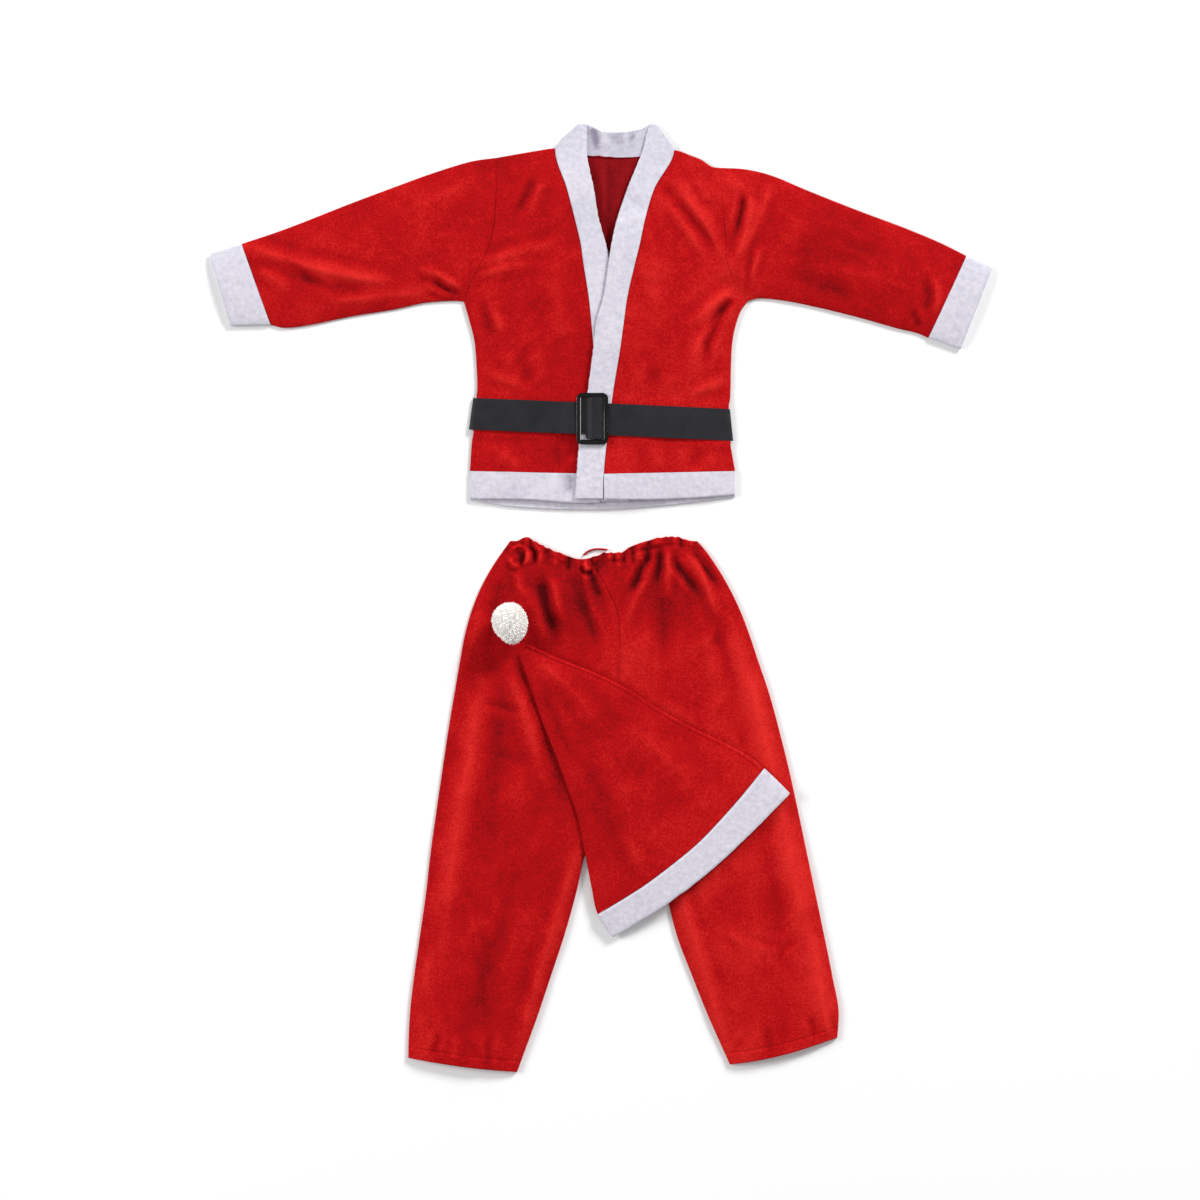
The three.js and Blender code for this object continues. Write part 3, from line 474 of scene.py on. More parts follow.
JACKET_CREASES = [
    # left front, from the underarm inwards
    (((-146, 249), (-96, 266), (-49, 283)), 6.5, 3.4),
    (((-144, 240), (-108, 249), (-74, 257)), 6.0, 2.6),
    (((-150, 245), (-118, 256), (-92, 262)), 3.6, -2.0),
    (((-82, 354), (-93, 332), (-107, 306)), 5.0, -1.9),
    (((-73, 352), (-80, 330), (-90, 306)), 6.0, 2.0),
    (((-134, 196), (-127, 184), (-119, 169)), 6.5, 2.0),
    (((-146, 208), (-138, 186), (-134, 160)), 6.0, -2.4),
    (((-58, 236), (-52, 190), (-44, 150)), 13.0, 1.8),
    (((-98, 146), (-92, 122), (-80, 100)), 8.0, -2.0),
    (((-140, 122), (-112, 110), (-84, 98)), 7.0, 2.2),
    (((-122, 26), (-108, 16), (-96, 4)), 8.0, 1.8),
    (((-38, 0), (-40, -10), (-43, -27)), 8.5, -3.2),
    (((-60, 34), (-52, 20), (-50, 6)), 8.0, -1.6),
    # left sleeve
    (((-429, 275), (-349, 248), (-282, 234), (-214, 224)), 8.0, 3.8),
    (((-325, 207), (-262, 214), (-203, 218)), 7.0, 2.8),
    (((-172, 214), (-190, 224), (-208, 236)), 4.5, -3.6),
    (((-176, 209), (-194, 213), (-214, 218)), 3.6, -2.2),
    (((-176, 226), (-198, 240), (-226, 250)), 5.0, 2.4),
    (((-386, 262), (-356, 240), (-342, 214)), 9.0, -2.0),
    (((-160, 352), (-196, 332), (-236, 316)), 12.0, 1.6),
    (((-412, 246), (-390, 232), (-372, 214)), 6.5, 1.8),
    # right front, from the shoulder to the underarm
    (((68, 351), (102, 314), (146, 260)), 7.0, -3.0),
    (((93, 339), (124, 298), (151, 247)), 7.0, 3.4),
    (((82, 322), (104, 290), (132, 246)), 6.0, 2.0),
    (((158, 223), (130, 204), (98, 172)), 6.0, 3.2),
    (((160, 214), (134, 190), (108, 158)), 4.2, -2.6),
    (((149, 206), (126, 158), (122, 124)), 5.0, -3.8),
    (((134, 196), (112, 158), (106, 126)), 7.0, 2.2),
    (((148, 114), (124, 104), (98, 93)), 6.0, 2.8),
    (((60, 262), (66, 214), (62, 170)), 14.0, 1.6),
    (((70, 130), (62, 112), (56, 98)), 8.0, -1.6),
    (((118, 30), (110, 16), (104, 4)), 8.0, -1.8),
    (((62, 36), (66, 20), (74, 4)), 9.0, 1.6),
    # right sleeve
    (((169, 336), (165, 312), (158, 284)), 4.2, -4.6),
    (((181, 323), (172, 290), (157, 251)), 5.5, 3.6),
    (((200, 344), (190, 312), (176, 280), (158, 254)), 5.0, 2.8),
    (((188, 268), (182, 250), (175, 229)), 4.5, 2.8),
    (((178, 262), (174, 240), (172, 220)), 3.4, -2.4),
    (((387, 236), (391, 214), (388, 193)), 5.0, -2.2),
    (((371, 196), (375, 186), (380, 173)), 4.0, -2.6),
    (((400, 230), (402, 208), (396, 184)), 5.5, 2.4),
    (((279, 246), (314, 238), (347, 234)), 14.0, 1.8),
    (((232, 236), (268, 224), (310, 214)), 9.0, -1.6),
    (((148, 362), (158, 352), (166, 340)), 8.0, 2.0),
]


# %% Fine wrinkles of the jacket
def strew(rows, count, left, right, low, high, lean):
    """Adds short fine wrinkles, no two alike, mostly along the lean."""
    for _ in range(count):
        x, y = random.uniform(left, right), random.uniform(low, high)
        heading = lean + random.gauss(0, 0.45)
        length = random.uniform(22, 64)
        end = (x + length * math.cos(heading), y + length * math.sin(heading))
        bend = random.uniform(-3, 3)
        middle = ((x + end[0]) / 2 + bend, (y + end[1]) / 2 - bend)
        rise = random.choice((-1, 1)) * random.uniform(0.3, 0.95)
        rows.append((((x, y), middle, end), random.uniform(3.0, 6.0), rise))


strew(JACKET_CREASES, 26, -150, -30, 90, 350, 0.5)
strew(JACKET_CREASES, 26, 40, 150, 90, 350, 2.3)
strew(JACKET_CREASES, 18, -400, -190, 190, 330, -0.25)
strew(JACKET_CREASES, 18, 190, 380, 190, 330, 2.7)
print(len(JACKET_CREASES), "creases in the jacket")

# %% Height of a front
chest = curve(
    table("up rise", (421, 0.4), (390, 1.6), (340, 4.0), (270, 5.0), (200, 5.0), (150, 4.2),
          (104, 2.4), (88, 1.2), (44, 1.0), (30, 2.2), (0, 2.6), (-40, 2.0)),
    "up", "rise",
)


def jacket_top(x, up, rim):
    """Top of a front, without the lap. rim runs from 0 at a held edge to 1 inside."""
    pressed = 1 - 0.85 * (1 - ease(BELT_CLEAR, BELT_SLOPE + 8, from_belt(x, up)))
    fold = creases(JACKET_CREASES, x, up) * pressed + undulation(x, up) * 0.9 * pressed
    base = TWO_LAYERS + belt_lift(x, up) + chest(up) * rim
    held = 0.35 + 0.65 * rim
    floor = TWO_LAYERS + belt_lift(x, up)
    return np.maximum(base + fold * held, floor), fold


def side_rim(x, up):
    """0 at the side seams and 1 well inside them, and 1 all over the armholes."""
    row = np.interp(-up, [-r["left_up"] for r in BODY], range(len(BODY)))
    edge = np.where(x < 0, x - SIDE[-1][0](row), SIDE[1][0](row) - x)
    return np.maximum(ease(-6, 34, edge), ease(206, 250, up) * ease(372, 340, up))


def lap(x, up):
    """The right front's rise over the left band, gone above the crossing."""
    return OVERLAP * (1 - ease(LAP_END, LAP_END + LAP_FALL, x)) * (1 - ease(276, 330, up))


# %% [markdown]
# ## The jacket's back
# It lies flat on the table and shows only inside the neck, where a crease runs down the
# middle. It is a plain grid, lifted where the belt passes below it.

# %% Back
NECK_CREASES = [
    (((7.5, 380), (8.5, 340), (7.5, 286)), 3.2, -1.1),
    (((-2, 372), (0, 340), (4, 300)), 6.0, 1.0),
    (((30, 374), (22, 344), (14, 304)), 5.0, 0.9),
]


def back_plan(s, t):
    row = body_row(t)
    x = mix(SIDE[-1][0](row), SIDE[1][0](row), s)
    return x, body_up(row, x)


def back_height(x, up, s, t):
    fold = creases(NECK_CREASES, x, up)
    # The fold value goes into the colour 1.8 times over: painted shade in the crease and painted
    # highlight on the ridges beside it.
    return VELOUR + 0.3 + belt_lift(x, up) + np.maximum(fold, -0.3), fold * 1.8


panel("back_velour", "jacket_back", (90, 110), back_plan, back_height, VELOUR,
      (0, 0, 0.3, 0), JACKET_AT)

# %% [markdown]
# ## The fronts
# Each runs from the side seam and armhole to its plush band. The inner edge is found by
# stepping along the band's own curve, so that cloth and band meet all the way down.

# %% Fronts
BAND = {-1: LEFT_BAND, 1: RIGHT_BAND}
SEAM_X = {side: curve(BAND[side], "up", "seam") for side in (-1, 1)}
EDGE_X = {side: curve(BAND[side], "up", "edge") for side in (-1, 1)}


def front_plan(side):
    def plan(s, t):
        row = body_row(t)
        inner = SEAM_X[side](middle_up(row))
        for _ in range(5):
            inner = SEAM_X[side](body_up(row, inner))
        inner = inner + side * 0.1
        outer = SIDE[side][0](row)
        x = mix(outer, inner, s) if side < 0 else mix(inner, outer, s)
        return x, body_up(row, x)

    return plan


def front_height(side):
    def height(x, up, s, t):
        top, fold = jacket_top(x, up, side_rim(x, up))
        return top + (lap(x, up) if side > 0 else 0), fold + NAP["front_" + SIDES[side]]

    return height


panel("front_left_velour", "jacket_front_left", (70, 150), front_plan(-1),
      front_height(-1), VELOUR, (1.2, 0, 2.0, 0), JACKET_AT)
panel("front_right_velour", "jacket_front_right", (76, 150), front_plan(1),
      front_height(1), VELOUR, (0, 1.2, 2.0, 0), JACKET_AT)

# %% [markdown]
# ## Plush bands
# Plush is sewn double, so its edges are round and it stands a little over the velour. A
# pile never lies quite even: a fine unevenness moves its surface and its free edge.

# %% Unevenness of the plush
PILE = draw_waves(18, 5, 17)


def pile(x, y):
    return sum_waves(PILE, x, y)


# %% Front bands
BAND_STAND = 1.3
PILE_RISE = 0.28
RAGGED = 0.5


def band_plan(side):
    foot = BAND[side][-1]["up"]
    peak = BAND[side][0]["up"]

    def plan(s, t):
        up = mix(peak, foot, t)
        part = s if side < 0 else 1 - s
        x = mix(SEAM_X[side](up), EDGE_X[side](up), part)
        ragged = RAGGED * pile(x * 0.4, up * 1.3) * part
        return x + ragged, up

    return plan


def band_height(side):
    def height(x, up, s, t):
        top, fold = jacket_top(x, up, 1.0)
        over = lap(0 * x, up) if side > 0 else 0
        return top + BAND_STAND + over + PILE_RISE * pile(x, up), fold * 0.5

    return height


for side, word in SIDES.items():
    panel(f"band_{word}_plush", f"front_band_{word}", (18, 190), band_plan(side),
          band_height(side), PLUSH, (1.1, 1.1, 1.5, 1.6), JACKET_AT)

# %% Band round the back of the neck
neck_top = curve(NECK_TOP, "x", "up")
# NECK_SHADE paints the whole band darker, a painted shade inside the neck, and its creases paint shade
# and highlight into its colour through the fold value.
NECK_SHADE = 1.0
NECK_BAND_CREASES = [
    (((-13, 418), (-9, 402), (-5, 386)), 5.2, -3.6),
    (((-1, 414), (0, 402), (3, 390)), 4.0, 1.6),
    (((20, 412), (19, 402), (20, 390)), 5.0, -1.0),
    (((38, 415), (35, 402), (34, 390)), 3.6, -1.4),
]


def neck_plan(s, t):
    x = mix(NECK_TOP[0]["x"], NECK_TOP[-1]["x"], s)
    return x, mix(neck_top(x), back_top(x) - 0.4, t)


def neck_height(x, up, s, t):
    open_part = crown((x + 19) / 65)
    fold = creases(NECK_BAND_CREASES, x, up)
    rise = 2.6 * open_part * (1 - t) ** 2 + 0.25 * pile(x, up)
    return np.maximum(PLUSH_REST + rise + fold * open_part, PLUSH_REST), fold - NECK_SHADE


panel("neck_plush", "neck_band", (70, 22), neck_plan, neck_height, PLUSH,
      (0.8, 0.8, 1.8, 0.3), JACKET_AT)

# %% Hem bands
HEM_STAND = 1.6
HEM = {"front": curve(HEM_FOOT, "x", "front"), "back": curve(HEM_FOOT, "x", "back")}


def hem_plan(edge, start, end):
    def plan(s, t):
        x = mix(start, end, s)
        seam = body_up(HEM_ROW + 0 * x, x) - 0.3
        foot = HEM[edge](x) + RAGGED * pile(x * 1.3, x * 0.2)
        return x, mix(seam, foot, t)

    return plan


def hem_height(side):
    def height(x, up, s, t):
        if side == 0:
            return PLUSH_REST + 0 * x, 0 * x
        top, fold = jacket_top(x, up, side_rim(x, np.maximum(up, 2)))
        over = lap(x, up) if side > 0 else 0
        return top + HEM_STAND + over + PILE_RISE * pile(x, up), fold

    return height


LEFT_HEM, RIGHT_HEM = BODY[HEM_ROW]["left_x"], BODY[HEM_ROW]["right_x"]
LEFT_STOP, RIGHT_STOP = -3.6, 1.6
panel("hem_back_plush", "hem_band_back", (90, 16), hem_plan("back", LEFT_HEM, RIGHT_HEM),
      hem_height(0), PLUSH, (1.2, 1.2, 0, 1.2), JACKET_AT)
panel("hem_left_plush", "hem_band_left", (70, 18),
      hem_plan("front", LEFT_HEM, LEFT_STOP), hem_height(-1), PLUSH, (2.0, 0, 0, 2.0), JACKET_AT)
panel("hem_right_plush", "hem_band_right", (70, 18),
      hem_plan("front", RIGHT_STOP, RIGHT_HEM), hem_height(1), PLUSH, (0, 2.0, 0, 2.0), JACKET_AT)

# %% [markdown]
# ## Sleeves and cuffs
# A sleeve is a tube pressed flat, open at the armhole and at the cuff. Near the body its
# upper layer keeps the front's height, so the creases run on across the armhole seam.

# %% Sleeves
SLEEVE = {
    -1: table(
        "section top_x top_up foot_x foot_up",
        (0, -127.5, 380.4, -166.5, 207.6), (1, -159.3, 375.6, -177.3, 208.8),
        (2, -202.5, 362.4, -213.3, 206.4), (3, -245.7, 346.8, -252.9, 198),
        (4, -303.3, 325.2, -300.9, 190.2), (5, -360.9, 302.4, -351.3, 180),
        (6, -393.3, 290.4, -381.3, 176.4), (7, -432.9, 277.2, -398.1, 180),
    ),
    1: table(
        "section top_x top_up foot_x foot_up",
        (0, 139.5, 368.4, 174.3, 208.8), (1, 170.7, 366.6, 188.7, 211.8),
        (2, 203.1, 358.8, 218.7, 208.8), (3, 246.3, 340.8, 254.7, 201.6),
        (4, 303.9, 318, 303.9, 189.6), (5, 361.5, 296.4, 350.7, 176.4),
        (6, 404.7, 278.4, 375.9, 170.4), (7, 435.9, 262.8, 390.3, 164.4),
    ),
}
CUFF_END = {
    -1: {"top_x": -471.3, "top_up": 265.2, "foot_x": -446.1, "foot_up": 178.8},
    1: {"top_x": 467.1, "top_up": 248.4, "foot_x": 428.7, "foot_up": 150.6},
}


def sleeve_plan(side):
    edges = {name: curve(SLEEVE[side], "section", name)
             for name in ("top_x", "top_up", "foot_x", "foot_up")}
    first = SLEEVE[side][0]
    last_section = SLEEVE[side][-1]["section"]

    def plan(across, along):
        section = along * last_section
        armhole_row = across * ARMHOLE_ROWS
        hole_x, hole_up = SIDE[side][0](armhole_row), SIDE[side][1](armhole_row)
        part = (first["top_up"] - hole_up) / (first["top_up"] - first["foot_up"])
        near = 1 - ease(0, 0.36, along)
        part = mix(across, part, near)
        chord = mix(first["top_x"], first["foot_x"], part)
        x = mix(edges["top_x"](section), edges["foot_x"](section), part)
        up = mix(edges["top_up"](section), edges["foot_up"](section), part)
        return x + (hole_x - chord + side * 0.15) * near, up

    return plan


ARM_BASE = 3.6
ARM_LOW = 3.4


def sleeve_high(side):
    def high(x, up, across, along):
        fold = creases(JACKET_CREASES, x, up) + undulation(x, up) * 0.9
        body, _ = jacket_top(x, up, side_rim(x, up))
        arm = ARM_BASE + mix(5.0, 4.0, along) * crown(across) + fold * (0.35 + 0.65 * crown(across))
        word = SIDES[side]
        lies = mix(NAP["front_" + word], NAP["sleeve_" + word], ease(0, 0.5, along))
        return np.maximum(mix(body, arm, ease(0, 0.16, along)), ARM_LOW), fold + lies

    return high


def on_table(x, y, across, along):
    return 0.0 * x


for side, word in SIDES.items():
    tube(f"sleeve_{word}_velour", f"sleeve_{word}", (112, 120), sleeve_plan(side),
         on_table, sleeve_high(side), TUBE_VELOUR, JACKET_AT)

# %% Cuffs
def cuff_plan(side):
    start, end = SLEEVE[side][-1], CUFF_END[side]

    def plan(across, along):
        at = {k: mix(start[k], end[k], along) for k in end}
        x = mix(at["top_x"], at["foot_x"], across) + side * 0.35
        ragged = RAGGED * side * pile(across * 90, across * 20) * along
        return x + ragged, mix(at["top_up"], at["foot_up"], across)

    return plan


CUFF_BASE = 6.2
CUFF_LOFT = 2.4


def end_roll(along):
    """How far the plush of a cuff or brim drops at its two rolled edges."""
    return roll(np.minimum(along, 1 - along) * 34, 2.0)


def cuff_high(x, up, across, along):
    loft = CUFF_LOFT * crown(across) + 0.3 * pile(x, up)
    return CUFF_BASE + loft - end_roll(along) * 0.5, 0 * x


for side, word in SIDES.items():
    tube(f"cuff_{word}_plush", f"cuff_{word}", (84, 22), cuff_plan(side),
         on_table, cuff_high, CUFF_PLUSH, JACKET_AT)

# %% [markdown]
# ## The belt and its buckle
# The strap is one ring of woven webbing round the jacket. The buckle is a moulded frame
# with a centre bar: the strap's end comes up through it and passes over the bar.

# %% Strap
BELT_WIDE = 38.0
BELT_OVER = table(
    "across height",
    (0, 3.9), (0.0055, 5.4), (0.03, 6.2), (0.1, 7.2), (0.2, 7.8), (0.34, 8.2), (0.385, 11.2),
    (0.46, 11.2), (0.53, 11.2), (0.62, 11.0), (0.7, 9.8), (0.8, 8.2), (0.9, 7.2),
    (0.97, 6.2), (0.9945, 5.4), (1, 3.9),
)
over_body = curve(BELT_OVER, "across", "height")
BELT_ENDS = {"top": (-155.5, 152.5), "low": (-160.5, 156.5)}


def strap_plan(across, along):
    left = mix(BELT_ENDS["top"][0], BELT_ENDS["low"][0], along)
    right = mix(BELT_ENDS["top"][1], BELT_ENDS["low"][1], along)
    x = mix(left, right, across)
    return x, BELT_UP + BELT_TILT * x + BELT_WIDE * (0.5 - along)


def strap_high(x, up, across, along):
    wave = 0.35 * np.sin(x / 19) * np.cos(along * 3) + 0.2 * undulation(x, up)
    return over_body(across) + WEBBING + wave, 0 * x


tube("strap_webbing", "belt_strap", (220, 18), strap_plan, on_table, strap_high,
     WEBBING, JACKET_AT)

# %% Buckle
RAIL_SWELL = 0.6


def moulded_copy(node, name, wide):
    """A merged copy of a moulded part, its rails a little fuller and their edges round."""
    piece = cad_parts[node].copy()
    piece.data = piece.data.copy()
    piece.name = name
    bpy.context.collection.objects.link(piece)
    piece.hide_render = False
    piece.hide_viewport = False
    pick(piece)
    bpy.ops.object.mode_set(mode="EDIT")
    bpy.ops.mesh.select_all(action="SELECT")
    bpy.ops.mesh.remove_doubles(threshold=MERGE)
    bpy.ops.mesh.dissolve_limited(angle_limit=math.radians(3))
    bpy.ops.mesh.select_all(action="SELECT")
    bpy.ops.transform.shrink_fatten(value=RAIL_SWELL * MM, use_even_offset=True)
    low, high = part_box(node)
    middle = tuple((a + b) / 2 for a, b in zip(low, high))
    tall = high[2] - low[2]
    flatter = tall / (tall + 2 * RAIL_SWELL * MM)
    bpy.ops.transform.resize(value=(1, 1, flatter), center_override=middle)
    bpy.ops.object.mode_set(mode="OBJECT")
    edges = piece.modifiers.new("edges", "BEVEL")
    edges.width = wide * MM
    edges.segments = 3
    edges.use_clamp_overlap = False
    edges.limit_method = "ANGLE"
    edges.angle_limit = math.radians(40)
    bpy.ops.object.modifier_apply(modifier=edges.name)
    bpy.ops.object.shade_smooth_by_angle(angle=math.radians(40))
    stand_for(piece, node)
    return piece


buckle = moulded_copy("buckle_frame", "buckle_moulding", 0.9)

# %% The painted highlight on the frame's inner edges
RAIL_WIDE = 4.0
WINDOW_HALF = 26.0
ROUND_TOP, ROUND_FOOT = 0.05, 0.95
ROUND_NEAR, ROUND_FAR = 0.02, 1.0


def polish(piece, node):
    """Notes where a highlight is painted on the frame: the round edges inside the window."""
    low, high = (np.array(corner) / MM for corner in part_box(node))
    middle_up = (low[1] + high[1]) / 2
    notes = []
    for vertex in piece.data.vertices:
        x, y, z = (value / MM for value in vertex.co)
        drop = high[2] - z
        on_bevel = ROUND_TOP < drop < ROUND_FOOT and abs(y - middle_up) < WINDOW_HALF
        from_left = low[0] + RAIL_WIDE + RAIL_SWELL - x
        from_right = x - high[0] + RAIL_WIDE + RAIL_SWELL
        left = on_bevel and ROUND_NEAR < from_left < ROUND_FAR
        right = on_bevel and ROUND_NEAR < from_right < ROUND_FAR
        notes.append(1.0 if left else 0.45 if right else 0.0)
    note = piece.data.attributes.new("polish", "FLOAT", "POINT")
    note.data.foreach_set("value", notes)
    print("highlighted points", sum(value > 0 for value in notes))


polish(buckle, "buckle_frame")

# %% The strap's end over the bar
# It comes up beside the left rail, bends over the bar and goes down at the right one. Its
# lower corner is turned, so that a little of the band below shows at the left. Beside the
# left rail it lies deep in the window, in its shade: the fold value darkens it there.
tail_low, tail_high = (np.array(corner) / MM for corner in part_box("belt_tail"))
frame_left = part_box("buckle_frame")[0][0] / MM
SHADE_END = 11.0
TAIL_START = 8.2
TAIL_TURN = 9.6
TAIL_ABOVE = 0.8


def tail_plan(s, t):
    x = mix(tail_low[0] - TAIL_START, tail_high[0], s)
    foot = tail_low[1] - TAIL_TURN * ease(0.14, 0.24, s)
    return x - SHEET_X, mix(tail_high[1] + TAIL_ABOVE, foot, t) - SHEET_Y


def tail_height(x, y, s, t):
    over_bar = ease(0.26, 0.5, s) * ease(1.0, 0.82, s)
    from_rail = x + SHEET_X - frame_left
    shaded = ease(SHADE_END + 1.2, SHADE_END - 0.6, from_rail)
    top = tail_low[2] + WEBBING + (tail_high[2] - tail_low[2] - WEBBING) * over_bar
    return top, -shaded


panel("tail_webbing", "belt_tail", (30, 30), tail_plan, tail_height, WEBBING,
      (0, 0, 0.6, 0.6), (0, 0))

# %% [markdown]
# ## The hat's place
# The hat lies across the trousers and sags between the two legs. Its outline is needed
# before the trousers are made, because the cloth below it is pressed flat.

# %% Hat outline
HAT = table(
    "along left right",
    (0, -6.9, 6.9), (40, -20.8, 27), (80, -36, 49), (120, -49, 67), (160, -63, 80),
    (200, -78, 95.5), (240, -99, 114), (275, -118, 128), (305, -133, 133.5), (350, -137, 138),
)
BRIM = table(
    "across seam foot",
    (0, 305, 338), (0.25, 313, 347), (0.5, 315, 350), (0.75, 308, 346), (1, 296, 339),
)
hat_left, hat_right = curve(HAT, "along", "left"), curve(HAT, "along", "right")
brim_seam, brim_foot = curve(BRIM, "across", "seam"), curve(BRIM, "across", "foot")


def under_hat(x, y):
    """1 below the hat and 0 away from it, for places on the sheet."""
    dx, dy = x - HAT_AT[0], y - HAT_AT[1]
    along = dx * math.cos(HAT_TURN) + dy * math.sin(HAT_TURN)
    aside = -dx * math.sin(HAT_TURN) + dy * math.cos(HAT_TURN)
    inside = np.minimum(aside - hat_left(along), hat_right(along) - aside)
    return ease(-6, 8, inside) * ease(-8, 8, along) * ease(352, 338, along)


# %% [markdown]
# ## Trousers
# Four panels: two fronts lie on two backs and are joined at the centre seam, the side
# seams and the inseams. Elastic draws in the waist, so pleats of uneven length run down
# from it. Small ones are strewn by a loop, and the large ones are listed one by one.

# %% Sections of the trousers
CROTCH = 252.0
LEG = {
    -1: table(
        "down outer inner",
        (-24, -119.7, -30), (-4, -134, -25), (14, -145.5, -16), (36, -157, -4),
        (60, -166.5, 7), (90, -175, 11), (120, -180.7, 11), (160, -187.5, 8.5),
        (205, -195, 5), (252, -202, 1.5), (300, -209, -12), (350, -216, -30),
        (400, -221.7, -41.5), (450, -228.8, -55.5), (500, -236, -72), (545, -241, -87),
        (616, -243.5, -113),
    ),
    1: table(
        "down outer inner",
        (-24, 102.3, -30), (-14, 111.5, -27.6), (-4, 119, -25), (14, 131, -16), (36, 143.5, -4),
        (60, 155, 7), (90, 166.5, 11), (120, 176.5, 11), (160, 190, 8.5),
        (205, 202.3, 5), (252, 214, 1.5), (300, 224.5, 24), (350, 235, 48),
        (400, 245.5, 66), (450, 256, 79), (500, 266, 98), (545, 273.5, 116),
        (610, 267, 145),
    ),
}
WAIST = table(
    "x down",
    (-119.7, -24), (-107, -28.5), (-92, -22.8), (-73, -14.4), (-50, -6), (-37, -2.4),
    (-20, -4.8), (-8, -9.6), (9, -9.6), (29, -19.2), (45, -24), (78, -28.8), (92, -27.8), (102.3, -24),
)
LEG_HEM = {-1: (597, 614, 2), 1: (573, 605, 5)}
waist = curve(WAIST, "x", "down")

TROUSER_CREASES = [
    (((-84, 26), (-80, 56), (-66, 98)), 9.0, -5.6),
    (((-92, 40), (-85, 70), (-76, 104)), 6.0, 3.0),
    (((-36, 14), (-32, 52), (-12, 118)), 14.0, -3.6),
    (((-74, 18), (-66, 42), (-60, 70)), 5.0, 2.6),
    (((-36, 14), (-26, 48), (-6, 92)), 6.0, 3.2),
    (((-24, 16), (-18, 32), (-9, 50)), 4.6, -2.6),
    (((-26, 2), (-23, 12), (-18, 20)), 4.0, 3.0),
    (((44, -8), (36, 14), (23, 44)), 5.0, -6.4),
    (((38, -6), (40, 10), (36, 28)), 4.5, 3.4),
    (((40, 22), (28, 50), (15, 86)), 6.0, 3.2),
    (((40, -16), (44, -6), (46, 4)), 3.6, -3.6),
    (((60, -12), (58, 8), (52, 32)), 4.6, -4.6),
    (((66, -12), (70, 14), (66, 52)), 5.0, 3.6),
    (((76, 2), (90, 20), (107, 44)), 4.6, -5.6),
    (((98, -12), (112, 8), (130, 34)), 4.6, -5.4),
    (((98, -8), (112, 22), (131, 78)), 5.5, 3.6),
    (((60, 40), (64, 84), (60, 132)), 10.0, -2.2),
    (((124, 60), (134, 110), (150, 160)), 8.0, -2.2),
    (((-112, 14), (-110, 30), (-102, 48)), 5.0, 3.4),
    (((-122, -2), (-117, 6), (-108, 9)), 3.0, 4.4),
    (((-103, 7), (-99, -1), (-100, -12)), 3.2, 4.2),
    (((-118, -12), (-110, -17), (-103, -13)), 2.6, 3.4),
    (((-112, -10), (-107, -4), (-111, 3)), 3.0, -5.4),
    (((-104, -12), (-105, -2), (-109, 6)), 2.4, -3.4),
    (((-96, -18), (-91, -8), (-92, 6)), 3.0, -4.4),
    (((-88, -16), (-84, -6), (-86, 8)), 3.0, 3.6),
    (((-34, 4), (-28, 10), (-22, 8)), 3.0, 4.2),
    (((-34, 12), (-28, 17), (-20, 14)), 2.6, -4.0),
    (((-130, 20), (-140, 60), (-148, 120)), 9.0, -2.4),
    (((-114, 116), (-84, 190), (-48, 306)), 6.0, -3.2),
    (((-126, 128), (-98, 206), (-68, 300)), 8.0, 2.4),
    (((-152, 170), (-128, 176), (-100, 184)), 4.0, -1.8),
    (((-146, 232), (-120, 236), (-92, 246)), 4.5, -1.4),
    (((-60, 34), (-52, 76), (-38, 118)), 10.0, -1.8),
    (((-154, 150), (-182, 300), (-206, 500)), 12.0, 2.4),
    (((-130, 180), (-140, 280), (-152, 380)), 15.0, -1.8),
    (((-40, 352), (-78, 470), (-112, 590)), 7.0, 2.2),
    (((-120, 420), (-150, 480), (-160, 560)), 13.0, -1.6),
    (((-214, 594), (-208, 578), (-206, 560)), 4.5, -2.4),
    (((-190, 600), (-186, 582), (-188, 566)), 5.0, 2.2),
    (((-150, 606), (-146, 590), (-148, 574)), 5.0, -1.8),
    (((158, 110), (196, 260), (226, 420)), 12.0, 2.4),
    (((70, 360), (106, 470), (140, 590)), 7.0, 2.2),
    (((180, 330), (200, 420), (206, 520)), 15.0, -1.8),
    (((240, 440), (250, 500), (256, 560)), 8.0, 1.8),
    (((244, 574), (242, 560), (238, 544)), 4.5, -2.6),
    (((262, 568), (258, 552), (256, 538)), 4.0, 2.4),
    (((190, 592), (188, 574), (184, 556)), 5.0, -1.8),
]

# %% Fine wrinkles and the puckers of the waist
strew(TROUSER_CREASES, 40, -190, 150, 60, 330, 1.45)
strew(TROUSER_CREASES, 26, -230, -70, 330, 590, 1.7)
strew(TROUSER_CREASES, 26, 60, 260, 330, 590, 1.35)
PUCKER_STEP = 7.5
CASING_DEEP = 11.0
FIRST_PUCKER, LAST_PUCKER = -117.0, 102
pucker_x = FIRST_PUCKER
while pucker_x < LAST_PUCKER:
    start = float(waist(pucker_x))
    lean = random.uniform(-3, 3) + pucker_x * 0.03
    reach = random.choice((12, 16, 20, 26, 38)) * random.uniform(0.8, 1.2)
    rise = random.choice((-1, 1)) * random.uniform(2.0, 4.0)
    line = ((pucker_x, start - 1), (pucker_x + lean / 2, start + reach / 2),
            (pucker_x + lean, start + reach))
    TROUSER_CREASES.append((line, random.uniform(2.6, 4.4), rise))
    pucker_x += PUCKER_STEP * random.uniform(0.6, 1.4)
print(len(TROUSER_CREASES), "creases in the trousers")

# %% Panels of the trousers
LEG_LOFT = 6.5
SCALLOP = 1.4
HEM_DEEP = 13.0
HAT_REST = 7.2
HAT_SAG = 2.4
HAT_GAP = 0.9
WAIST_OUTER = -24
WAIST_INNER = -4
LEG_LONG = 600
LEG_WIDE = 170
SEAM_HALF = 1.6


def leg_foot(side, inside):
    """How far down the hem is, bowed between the side seam and the inseam."""
    hem_out, hem_in, bow = LEG_HEM[side]
    return mix(hem_out, hem_in, inside) + bow * np.sin(np.pi * inside)


